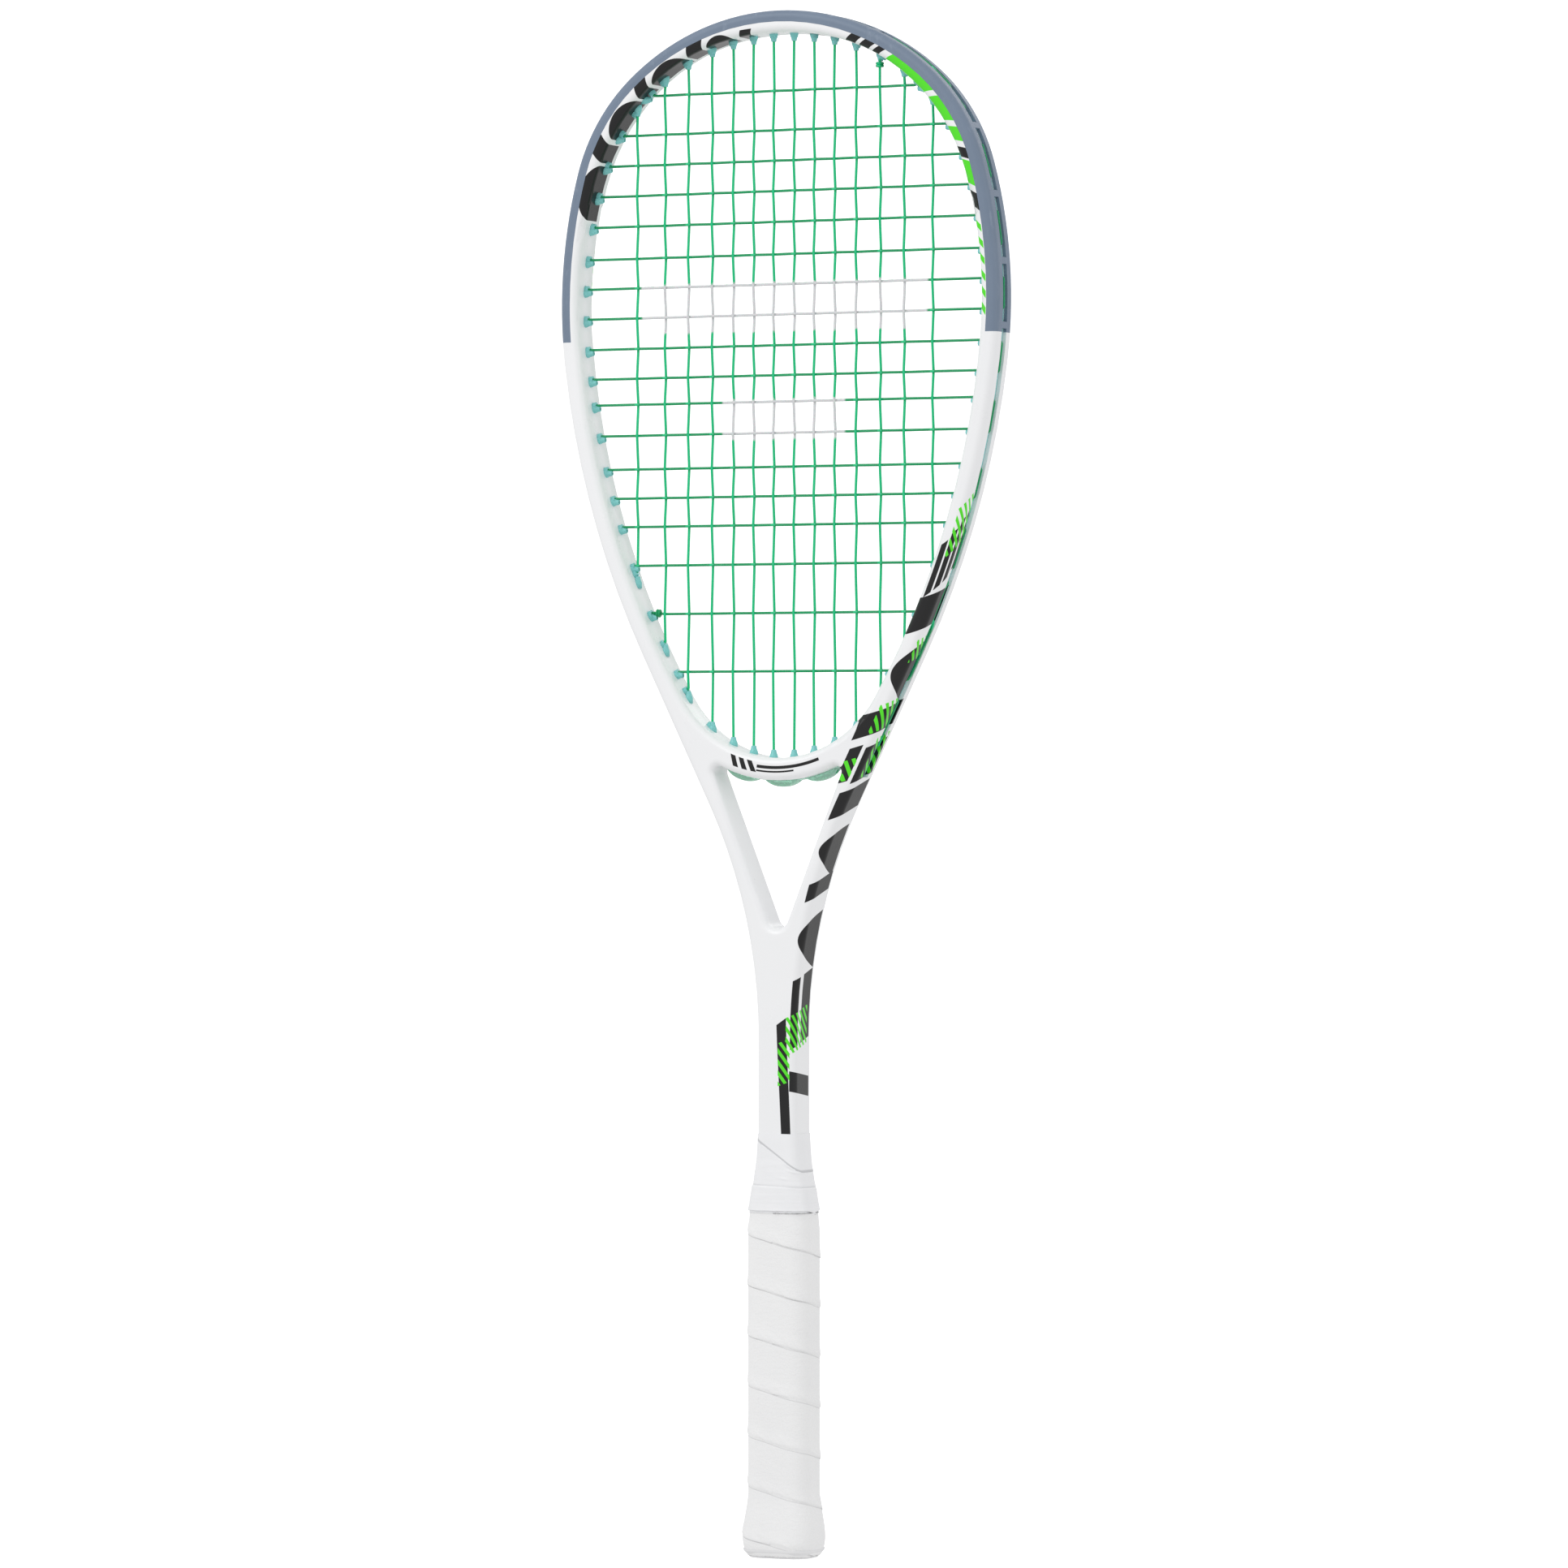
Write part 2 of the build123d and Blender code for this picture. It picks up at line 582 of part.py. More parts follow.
with BuildPart() as frame:
    add(envelope.part)
    with BuildSketch() as cavity_shape:
        add(inset(head_shape.sketch, -(GROOVE_DEPTH + WALL)))
        add(inset(hoop_hole.sketch, WALL), mode=Mode.SUBTRACT)
        add(throat_shape(WALL), mode=Mode.SUBTRACT)
        with Locations((0, SHAFT_BOTTOM_Z)):
            Rectangle(SHAFT_BORE_WIDTH, SHAFT_BORE_LENGTH)
    extrude(upright(cavity_shape.sketch), amount=SHAFT_BORE_DEPTH / 2, both=True, mode=Mode.SUBTRACT)
    add(bumper_zone.part, mode=Mode.SUBTRACT)
    groove = rim_band(GROOVE_DEPTH, GROOVE_END_Z, ABOVE_HEAD)
    extrude(groove, amount=GROOVE_WIDTH / 2, both=True, mode=Mode.SUBTRACT)
    for hole in TOP_HOLES + BOTTOM_HOLES + LEFT_HOLES + RIGHT_HOLES:
        radius = (TIE_OFF_BARREL_RADIUS if "anchor" in hole else BARREL_RADIUS) + BARREL_CLEARANCE
        with BuildSketch(hole_plane(hole).offset(-1)):
            Circle(radius)
        extrude(amount=hole["length"] + 2, mode=Mode.SUBTRACT)
frame.part.label = "frame"
export_step(frame.part, "parts/frame.step")

# Bars of the bumper lie between holes that no outside run joins
free_gaps = [(TOP_HOLES[k], TOP_HOLES[k + 1]) for k in range(2, 11, 2)]
free_gaps += [(LEFT_HOLES[k], LEFT_HOLES[k + 1]) for k in (2, 4, 6)]
free_gaps += [(RIGHT_HOLES[k], RIGHT_HOLES[k + 1]) for k in (1, 3, 5, 7)]


def gap_plane(first, second):
    """Plane across the groove midway between two holes, facing along the groove."""
    start, end = hole_point(first, first["length"]), hole_point(second, second["length"])
    return Plane(origin=(start + end) / 2, x_dir=(0, 1, 0), z_dir=(end - start).normalized())


with BuildPart() as bumper_slot:
    slot = rim_band(BUMPER_LIP, BUMPER_END_Z - 1, ABOVE_HEAD)
    extrude(slot, amount=GROOVE_WIDTH / 2, both=True)
    for first, second in free_gaps:
        with BuildSketch(gap_plane(first, second).offset(-TIE_WIDTH / 2)):
            Rectangle(GROOVE_WIDTH * 2, BUMPER_LIP * 3)
        extrude(amount=TIE_WIDTH, mode=Mode.SUBTRACT)

with BuildPart() as bumper_guard:
    add(envelope.part)
    add(bumper_zone.part, mode=Mode.INTERSECT)
    add(bumper_slot.part, mode=Mode.SUBTRACT)
bumper_guard.part.label = "bumper_guard"
export_step(bumper_guard.part, "parts/bumper_guard.step")


# ---------------------------------------------------------------- grommet strips

def hole_circle(hole, back, radius):
    """A circle across a hole, a distance back from the hoop's inner face."""
    with BuildSketch(hole_plane(hole).offset(-back)) as circle:
        Circle(radius)
    return circle.sketch


def barrels(holes, outer_end):
    """Grommet barrels from inside the hoop out to a distance before each hole's end."""
    for hole in holes:
        radius = TIE_OFF_BARREL_RADIUS if "anchor" in hole else BARREL_RADIUS
        extrude(hole_circle(hole, BARREL_TIP, radius), amount=BARREL_TIP + hole["length"] - outer_end)


def bores(holes):
    """The string bores through barrels and strip."""
    for hole in holes:
        radius = TIE_OFF_BORE if "anchor" in hole else BARREL_BORE
        bore = hole_circle(hole, BARREL_TIP + 1, radius)
        extrude(bore, amount=BARREL_TIP + hole["length"] + GROOVE_DEPTH, mode=Mode.SUBTRACT)


def rim_strip(holes, low_z, high_z, side):
    """A grommet strip on the groove's floor, on one side (-1, 1) or both (0), with its barrels."""
    band = rim_band(GROOVE_DEPTH, low_z, high_z)
    extrude(band, amount=GROOVE_WIDTH / 2 - STRIP_CLEARANCE, both=True)
    cover = rim_band(GROOVE_DEPTH - STRIP_THICKNESS, low_z - 1, high_z + 1)
    extrude(cover, amount=HALF_DEPTH, both=True, mode=Mode.SUBTRACT)
    if side:
        with Locations((-side * HEAD_HALF_WIDTH, 0, (low_z + high_z) / 2)):
            Box(HEAD_HALF_WIDTH * 2, FRAME_DEPTH, OVERALL_LENGTH, mode=Mode.SUBTRACT)
    barrels(holes, GROOVE_DEPTH - STRIP_THICKNESS / 2)
    bores(holes)


head_crosses = [k for k, z in enumerate(CROSS_Z) if z > STRIP_SPLIT_Z]
side_crosses = [k for k, z in enumerate(CROSS_Z) if z < STRIP_SPLIT_Z]

with BuildPart() as head_grommet_strip:
    sides = [holes[k] for holes in (LEFT_HOLES, RIGHT_HOLES) for k in head_crosses]
    rim_strip(TOP_HOLES + sides, STRIP_SPLIT_Z + STRIP_GAP, ABOVE_HEAD, 0)
head_grommet_strip.part.label = "head_grommet_strip"
export_step(head_grommet_strip.part, "parts/head_grommet_strip.step")

with BuildPart() as left_grommet_strip:
    left_side = [LEFT_HOLES[k] for k in side_crosses] + BOTTOM_HOLES[:4]
    rim_strip(left_side, GROOVE_END_Z + STRIP_GAP, STRIP_SPLIT_Z, -1)
left_grommet_strip.part.label = "left_grommet_strip"
export_step(left_grommet_strip.part, "parts/left_grommet_strip.step")

with BuildPart() as right_grommet_strip:
    right_side = [RIGHT_HOLES[k] for k in side_crosses] + BOTTOM_HOLES[-4:]
    rim_strip(right_side, GROOVE_END_Z + STRIP_GAP, STRIP_SPLIT_Z, 1)
right_grommet_strip.part.label = "right_grommet_strip"
export_step(right_grommet_strip.part, "parts/right_grommet_strip.step")


def bridge_band(inner, outer, left_x, right_x):
    """A stretch of a band that is concentric with the bridge, below it."""
    with BuildSketch() as band:
        with Locations((0, BRIDGE_CENTRE_Z)):
            Circle(outer)
            Circle(inner, mode=Mode.SUBTRACT)
        with Locations(((left_x + right_x) / 2, BRIDGE_CENTRE_Z - outer)):
            Rectangle(right_x - left_x, outer, mode=Mode.INTERSECT)
    return upright(band.sketch)


BRIDGE_HOLES = BOTTOM_HOLES[4:10]
CHANNEL_RADIUS = BRIDGE_RADIUS + BRIDGE_RUN_RISE + STRING_RADIUS + STRIP_CLEARANCE
STRIP_FACE_RADIUS = BRIDGE_RADIUS + STRIP_THICKNESS

with BuildPart() as throat_grommet_strip:
    ends = [hole_point(hole, hole["length"]).X for hole in BRIDGE_HOLES]
    plate = bridge_band(BRIDGE_RADIUS, STRIP_FACE_RADIUS, ends[0] - BRIDGE_STRIP_END,
                        ends[-1] + BRIDGE_STRIP_END)
    extrude(plate, amount=GROOVE_WIDTH / 2, both=True)
    for left_x, right_x in zip(ends[::2], ends[1::2]):
        over = (left_x - HUMP_OVERHANG, right_x + HUMP_OVERHANG)
        hump = bridge_band(BRIDGE_RADIUS, CHANNEL_RADIUS + HUMP_ROOF, *over)
        extrude(hump, amount=HUMP_WIDTH / 2, both=True)
        inside = (over[0] + HUMP_ROOF, over[1] - HUMP_ROOF)
        channel = bridge_band(STRIP_FACE_RADIUS, CHANNEL_RADIUS, *inside)
        extrude(channel, amount=BARREL_BORE, both=True, mode=Mode.SUBTRACT)
    barrels(BRIDGE_HOLES, -STRIP_THICKNESS / 2)
    for hole in BRIDGE_HOLES:
        bore_length = BARREL_TIP + 1 + hole["length"] + BRIDGE_RUN_RISE
        extrude(hole_circle(hole, BARREL_TIP + 1, BARREL_BORE), amount=bore_length, mode=Mode.SUBTRACT)
throat_grommet_strip.part.label = "throat_grommet_strip"
export_step(throat_grommet_strip.part, "parts/throat_grommet_strip.step")


# ---------------------------------------------------------------- handle

SHAFT_CORNER = EDGE_RADIUS

# Outer surface of the handle as sections: height, width, depth, corner radius
HANDLE_SECTIONS = [
    (0.0, FLARE_WIDTH - 2 * BUTT_INSET, FLARE_DEPTH - 2 * BUTT_INSET, GRIP_CORNER),
    (BUTT_ROUND, FLARE_WIDTH - BUTT_INSET / 2, FLARE_DEPTH - BUTT_INSET / 2, GRIP_CORNER),
    (FLARE_Z, FLARE_WIDTH, FLARE_DEPTH, GRIP_CORNER),
    (FLARE_TOP_Z, GRIP_WIDTH, GRIP_DEPTH, GRIP_CORNER),
    (TAPER_START_Z, GRIP_WIDTH, GRIP_DEPTH, GRIP_CORNER),
]
for step in range(1, TAPER_SECTIONS + 1):
    share = step / TAPER_SECTIONS
    ease = share * share * (3 - 2 * share)
    HANDLE_SECTIONS.append((
        TAPER_START_Z + (TAPER_END_Z - TAPER_START_Z) * share,
        GRIP_WIDTH + (SHAFT_WIDTH + 2 * TAPER_STEP - GRIP_WIDTH) * ease,
        GRIP_DEPTH + (FRAME_DEPTH + 2 * TAPER_STEP - GRIP_DEPTH) * ease,
        GRIP_CORNER + (SHAFT_CORNER + TAPER_STEP - GRIP_CORNER) * ease,
    ))


def section_at(z):
    """Width, depth and corner radius of the handle's outer surface at a height."""
    for low, high in zip(HANDLE_SECTIONS, HANDLE_SECTIONS[1:]):
        if low[0] <= z <= high[0]:
            share = (z - low[0]) / (high[0] - low[0])
            return [a + (b - a) * share for a, b in zip(low[1:], high[1:])]
    return HANDLE_SECTIONS[-1][1:]


def handle_skin(low_z, high_z, depth, mode=Mode.ADD):
    """The handle between two heights, sunk by a depth below its outer surface."""
    between = [s[0] for s in HANDLE_SECTIONS if low_z < s[0] < high_z]
    sketches = []
    for z in [low_z, *between, high_z]:
        width, through, corner = section_at(z)
        with BuildSketch(Plane.XY.offset(z), mode=Mode.PRIVATE) as section:
            RectangleRounded(width - 2 * depth, through - 2 * depth, corner - depth)
        sketches.append(section.sketch)
    loft(sketches, ruled=True, mode=mode)


with BuildPart() as butt_cap_staples:
    staple_width = section_at(STAPLE_Z)[0] - 2 * (GRIP_THICKNESS + STAPLE_SINK)
    for side in (-1, 1):
        face = Plane(origin=(side * staple_width / 2, 0, STAPLE_Z), x_dir=(0, 1, 0), z_dir=(-side, 0, 0))
        with BuildSketch(face):
            Rectangle(STAPLE_CROWN, STAPLE_WIRE)
        extrude(amount=STAPLE_WIRE)
        with BuildSketch(face):
            with GridLocations(STAPLE_CROWN - STAPLE_WIRE, 0, 2, 1):
                Rectangle(STAPLE_WIRE, STAPLE_WIRE)
        extrude(amount=STAPLE_LEG)
butt_cap_staples.part.label = "butt_cap_staples"
export_step(butt_cap_staples.part, "parts/butt_cap_staples.step")

with BuildPart() as butt_cap:
    handle_skin(0, GRIP_BOTTOM_Z, 0)
    handle_skin(GRIP_BOTTOM_Z, CAP_TOP_Z, GRIP_THICKNESS)
    handle_skin(CAP_FLOOR, CAP_TOP_Z, GRIP_THICKNESS + CAP_WALL, mode=Mode.SUBTRACT)
    add(butt_cap_staples.part, mode=Mode.SUBTRACT)
butt_cap.part.label = "butt_cap"
export_step(butt_cap.part, "parts/butt_cap.step")

with BuildPart() as handle_pallet:
    handle_skin(CAP_FLOOR, CAP_TOP_Z, GRIP_THICKNESS + CAP_WALL)
    handle_skin(CAP_TOP_Z, GRIP_TOP_Z, GRIP_THICKNESS)
    handle_skin(GRIP_TOP_Z, TAPER_END_Z, 0)
    with BuildSketch(Plane.XY.offset(SHAFT_BOTTOM_Z)):
        RectangleRounded(SHAFT_WIDTH, FRAME_DEPTH, SHAFT_CORNER)
    extrude(amount=TAPER_END_Z, mode=Mode.SUBTRACT)
    add(butt_cap_staples.part, mode=Mode.SUBTRACT)
handle_pallet.part.label = "handle_pallet"
export_step(handle_pallet.part, "parts/handle_pallet.step")

with BuildPart() as grip_wrap:
    handle_skin(GRIP_BOTTOM_Z, GRIP_TOP_Z, 0)
    handle_skin(GRIP_BOTTOM_Z, GRIP_TOP_Z, GRIP_THICKNESS, mode=Mode.SUBTRACT)
grip_wrap.part.label = "grip_wrap"
export_step(grip_wrap.part, "parts/grip_wrap.step")

with BuildPart() as finishing_tape:
    handle_skin(TAPE_BOTTOM_Z, TAPER_END_Z, -TAPE_THICKNESS)
    handle_skin(TAPE_BOTTOM_Z, TAPER_END_Z, 0, mode=Mode.SUBTRACT)
    edge_angle = radians(TAPE_EDGE_ANGLE)
    edge_plane = Plane(origin=(0, 0, TAPE_EDGE_Z), z_dir=(sin(edge_angle), 0, cos(edge_angle)))
    split(bisect_by=edge_plane, keep=Keep.BOTTOM)
finishing_tape.part.label = "finishing_tape"
export_step(finishing_tape.part, "parts/finishing_tape.step")

with BuildPart() as shaft_plug:
    with BuildSketch(Plane.XY.offset(SHAFT_BOTTOM_Z)):
        Rectangle(SHAFT_BORE_WIDTH, SHAFT_BORE_DEPTH)
    extrude(amount=PLUG_LENGTH)
shaft_plug.part.label = "shaft_plug"
export_step(shaft_plug.part, "parts/shaft_plug.step")
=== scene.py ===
"""A strung squash racket, standing on its butt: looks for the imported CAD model.

The named sizes and the meshes' points are in millimetres; the studio is in metres.
The front of the racket faces -Y, and the photograph's right is +X.
"""

import math

import bpy
import bmesh
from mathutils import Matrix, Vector


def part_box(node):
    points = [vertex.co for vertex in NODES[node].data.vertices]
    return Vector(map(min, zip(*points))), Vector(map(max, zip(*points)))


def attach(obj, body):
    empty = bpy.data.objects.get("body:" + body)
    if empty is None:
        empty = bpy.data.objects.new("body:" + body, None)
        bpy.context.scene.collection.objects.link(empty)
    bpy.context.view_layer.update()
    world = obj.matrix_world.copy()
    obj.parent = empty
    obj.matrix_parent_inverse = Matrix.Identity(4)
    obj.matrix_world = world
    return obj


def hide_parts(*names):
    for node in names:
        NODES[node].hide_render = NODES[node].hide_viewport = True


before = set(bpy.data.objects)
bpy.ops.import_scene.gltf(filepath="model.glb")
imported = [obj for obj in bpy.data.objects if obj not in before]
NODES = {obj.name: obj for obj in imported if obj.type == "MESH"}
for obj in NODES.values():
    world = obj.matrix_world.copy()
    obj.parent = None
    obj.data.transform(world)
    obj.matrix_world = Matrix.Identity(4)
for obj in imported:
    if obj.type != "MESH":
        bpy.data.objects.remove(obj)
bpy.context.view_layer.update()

MM = 0.001

# ---------------------------------------------------------------- sizes, mm
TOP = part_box("frame")[1].z / MM
GRIP_LOW, GRIP_HIGH = (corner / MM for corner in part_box("grip_wrap"))
TAPE_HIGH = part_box("finishing_tape")[1] / MM
GRIP_WIDTH, GRIP_DEPTH, GRIP_CORNER = 30.0, 24.0, 8.0
BUTT_ROUND_Z = 9.0           # below here the wrap rounds in towards the butt
WRAP_PITCH = 22.3            # from one edge of the wound strip to the next
WRAP_STEP = 0.42             # how far an overlapping edge stands up
FLARE_TOP_Z = 30.0           # the butt's flare ends here
NECK, NECK_LOW_Z, NECK_LENGTH = 0.45, 144.0, 9.0     # the wrap thins under the finishing tape
TAPE_LEDGE_Z = 164.6         # top of the finishing tape's straight turn
TAPE_EDGE_Z = 179.0          # its slanted edge, at the handle's middle
TAPE_EDGE_SLOPE = math.tan(math.radians(35.0))

# arcs of the head's inner outline, on the right: centre x, centre z, radius
CROWN_ARC = (0.0, 558.3, 118.0)
SHOULDER_ARC = (5.33, 586.8, 89.0)
SIDE_ARC = (-96.4, 557.0, 195.0)
INNER_LOWER_ARC = (-280.6, 573.5, 380.0)
BRIDGE_ARC = (0.0, 409.6, 55.0)

# where one inner arc turns into the next
CROWN_END_X = 21.7
SHOULDER_END_Z = 611.8
SIDE_END_Z = 539.6
BRIDGE_END_X = 47.5

# the outer outline of the lower hoop, the leg and the throat, on the right
LOWER_ARC = (-291.7, 578.4, 400.0)
THROAT_ARC = (244.4, 229.9, 235.0)
LEG_FOOT = (9.35, 229.8)     # where the shaft's side turns into the leg
LEG_BEND = (33.7, 334.0)
LEG_TOP_Z = 401.2
LEG_ANGLE = 26.3             # the leg's lean from upright, degrees
FACE_Y = 9.1                 # from the string plane to the front and back faces

BED_HALF_DEPTH = 7.0         # nothing of the strings inside the hoop reaches further out
BED_LOW_Z = 358.0            # the string bed is above here
WIDE_BAR = (545.5, 567.5, 70.0)      # the stencil's bars: low edge, high edge, half width
SHORT_BAR = (497.5, 515.5, 30.0)

# the strings: the right-hand mains, and how far each cross is below the crown
MAIN_X = (5.0, 14.8, 24.8, 35.2, 47.0, 58.5, 72.3)
CROSS_DOWN = (35.1, 52.6, 66.1, 79.6, 93.3, 107.7, 121.0, 134.4, 148.1, 161.4,
              173.1, 187.0, 202.1, 215.1, 227.9, 245.3, 267.0, 292.9)


# ---------------------------------------------------------------- node fields
class Field:
    """A number that varies over a surface, written as arithmetic and kept as Math nodes."""

    tree = None

    def __init__(self, source):
        self.source = source

    @classmethod
    def math(cls, operation, *values):
        node = cls.tree.nodes.new("ShaderNodeMath")
        node.operation = operation
        for i, value in enumerate(values):
            feed(node.inputs[i], value)
        return cls(node.outputs[0])

    def __add__(self, other):
        return Field.math("ADD", self, other)

    def __sub__(self, other):
        return Field.math("SUBTRACT", self, other)

    def __rsub__(self, other):
        return Field.math("SUBTRACT", other, self)

    def __mul__(self, other):
        return Field.math("MULTIPLY", self, other)

    __radd__ = __add__
    __rmul__ = __mul__


def feed(socket, value):
    """Links a field to a socket, or sets the socket's own number."""
    if isinstance(value, Field):
        Field.tree.links.new(value.source, socket)
    else:
        socket.default_value = value


def low(a, b):
    return Field.math("MINIMUM", a, b)


def high(a, b):
    return Field.math("MAXIMUM", a, b)


def size_of(a):
    return Field.math("ABSOLUTE", a)


def span(a, b):
    return Field.math("SQRT", a * a + b * b)


def step(distance, soft=0.12):
    """1 where distance (mm) is positive, with an edge `soft` mm wide."""
    node = Field.tree.nodes.new("ShaderNodeMath")
    node.operation = "MULTIPLY_ADD"
    node.use_clamp = True
    feed(node.inputs[0], distance)
    node.inputs[1].default_value = 1.0 / soft
    node.inputs[2].default_value = 0.5
    return Field(node.outputs[0])


def inside(value, start, end, soft=0.12):
    """1 where value lies between start and end."""
    half = (end - start) / 2
    return step(half - size_of(value - (start + end) / 2), soft)


def place():
    """The surface point's x, y and z in mm, in the racket's frame."""
    coords = Field.tree.nodes.new("ShaderNodeTexCoord")
    split = Field.tree.nodes.new("ShaderNodeSeparateXYZ")
    Field.tree.links.new(coords.outputs["Object"], split.inputs[0])
    return [Field(split.outputs[i]) * (1 / MM) for i in range(3)]


def noise(scale, detail=2.0, rough=0.5, stretch=(1, 1, 1), distort=0.0):
    """Noise from 0 to 1, `scale` lumps to the metre."""
    coords = Field.tree.nodes.new("ShaderNodeTexCoord")
    mapping = Field.tree.nodes.new("ShaderNodeMapping")
    mapping.inputs["Scale"].default_value = stretch
    texture = Field.tree.nodes.new("ShaderNodeTexNoise")
    texture.inputs["Scale"].default_value = scale
    texture.inputs["Detail"].default_value = detail
    texture.inputs["Roughness"].default_value = rough
    texture.inputs["Distortion"].default_value = distort
    Field.tree.links.new(coords.outputs["Object"], mapping.inputs[0])
    Field.tree.links.new(mapping.outputs[0], texture.inputs["Vector"])
    return Field(texture.outputs[0])


def cells(scale):
    """Distance to the nearest cell point, `scale` cells to the metre."""
    coords = Field.tree.nodes.new("ShaderNodeTexCoord")
    texture = Field.tree.nodes.new("ShaderNodeTexVoronoi")
    texture.inputs["Scale"].default_value = scale
    Field.tree.links.new(coords.outputs["Object"], texture.inputs["Vector"])
    return Field(texture.outputs["Distance"])


def mix(amount, a, b):
    """Colour a where amount is 0, and b where it is 1."""
    node = Field.tree.nodes.new("ShaderNodeMix")
    node.data_type = "RGBA"
    feed(node.inputs[0], amount)
    for socket, value in ((node.inputs[6], a), (node.inputs[7], b)):
        if isinstance(value, Field):
            Field.tree.links.new(value.source, socket)
        else:
            socket.default_value = (*value, 1.0)
    return Field(node.outputs[2])


def bump(height, depth, normal=None):
    """A bump of `depth` metres from a height of 0 to 1."""
    node = Field.tree.nodes.new("ShaderNodeBump")
    node.inputs["Distance"].default_value = depth
    feed(node.inputs["Height"], height)
    if normal:
        Field.tree.links.new(normal.source, node.inputs["Normal"])
    return Field(node.outputs[0])


def material(name, **constants):
    """A new node material: its Principled shader, with the constants set on its own sockets."""
    made = bpy.data.materials.new(name)
    made.use_nodes = True
    Field.tree = made.node_tree
    shader = made.node_tree.nodes["Principled BSDF"]
    for key, value in constants.items():
        shader.inputs[key.replace("_", " ")].default_value = value
    return made, shader.inputs


def srgb(r, g, b):
    """A linear colour from 8-bit display values."""
    return tuple(
        c / 255 / 12.92 if c / 255 <= 0.04045 else ((c / 255 + 0.055) / 1.055) ** 2.4
        for c in (r, g, b)
    )


def dress(obj, made):
    obj.data.materials.clear()
    obj.data.materials.append(made)


# ---------------------------------------------------------------- printed marks
def blend_to(a, b, share):
    return a + (b - a) * share


def any_of(masks):
    result = masks[0]
    for other in masks[1:]:
        result = high(result, other)
    return result


def all_of(*masks):
    result = masks[0]
    for other in masks[1:]:
        result = low(result, other)
    return result


def sign_of(a):
    return Field.math("SIGN", a)


def line_wave(value, period):
    """A zigzag from 0 to half the period, for repeated stripes."""
    return Field.math("PINGPONG", value + 1000.0 * period, period / 2)


def outer_depth(x, z):
    """How far inside the outer outline a point of the lower hoop, leg or shaft is, mm."""
    tilt = math.radians(LEG_ANGLE)
    hoop = LOWER_ARC[2] - span(x - LOWER_ARC[0], z - LOWER_ARC[1])
    leg = (z - LEG_BEND[1]) * math.sin(tilt) - (x - LEG_BEND[0]) * math.cos(tilt)
    throat = span(x - THROAT_ARC[0], z - THROAT_ARC[1]) - THROAT_ARC[2]
    shaft = LEG_FOOT[0] - x
    depth = blend_to(shaft, throat, step(z - LEG_FOOT[1], 1.0))
    depth = blend_to(depth, leg, step(z - LEG_BEND[1], 1.0))
    return blend_to(depth, hoop, step(z - LEG_TOP_Z, 1.0))


def leg_marks(x, y, z):
    """Generic slanted blocks with lime stripes down a leg, from its front onto its outer side."""
    depth = outer_depth(x, z)
    across = y + FACE_Y - high(depth, 0.0)     # 0 at the corner, below 0 on the front
    printed = all_of(
        high(step(-6.5 - y), step(4.0 - depth)), step(5.5 - y), step(x)
    )

    def block(z0, z1, w0, w1, slant=0.35):
        return low(inside(z - across * slant, z0, z1), inside(across, w0, w1))

    def dome(z0, z1, w0, w1):
        middle, reach = (z0 + z1) / 2, (z1 - z0) / 2
        rise = ((z - middle) * (1 / reach))
        crown = (1.0 - rise * rise) * (w1 - w0)
        return all_of(
            step(crown - (w1 - across)), step(w1 - across), step(reach - size_of(z - middle))
        )

    dark = any_of([
        block(430, 453, -5.6, -3.2, 0.9), block(430, 455, -2.4, 0.4, 0.9),
        block(430, 457, 1.4, 4.2, 0.9), block(432, 458, 5.4, 8.4, 0.9),
        block(411, 427, -6.2, 10.5), dome(379, 407, -5.6, 9.0),
        block(365.5, 376.5, -9.6, 12.5), block(345.5, 361.5, -8.6, -3.4),
        block(343.5, 359.5, -1.6, 13.5), block(328.5, 340.5, -4.4, 16.5),
        dome(302.5, 325.5, -3.4, 14.0), block(291.5, 299.5, -3.0, 16.5),
        dome(261.5, 287.5, -2.6, 15.0), block(226.0, 256.5, -2.2, 3.2),
        block(226.0, 256.5, 6.2, 15.5), block(206.5, 215.5, -2.6, 16.5, -0.14),
        low(inside(z - across * 0.7, 184.5, 242.5),
            inside(across + (z - 209.0) * 0.05, -7.6, -2.9)),
    ])
    lined = step(line_wave(z * 0.75 + across * 0.95, 3.7) - 0.95)
    lime = low(lined, any_of([
        block(444, 466, -2.6, 9.0, 0.9), block(396, 406, 0.5, 10.5),
        block(366, 379, -3.8, 6.5), block(344, 362, 3.5, 13.5),
        block(346, 356, -8.8, -3.2), block(224, 241, -4.4, 12.5),
        block(212, 231, -8.2, -2.4),
    ]))
    return low(dark, printed), low(lime, printed)


def arc_place(x, z, arc):
    """(distance outward from the arc, distance along it from its centre's level) in mm."""
    dx, dz = x - arc[0], z - arc[1]
    angle = Field.math("ARCTAN2", dz, dx)
    return span(dx, dz) - arc[2], angle * arc[2]


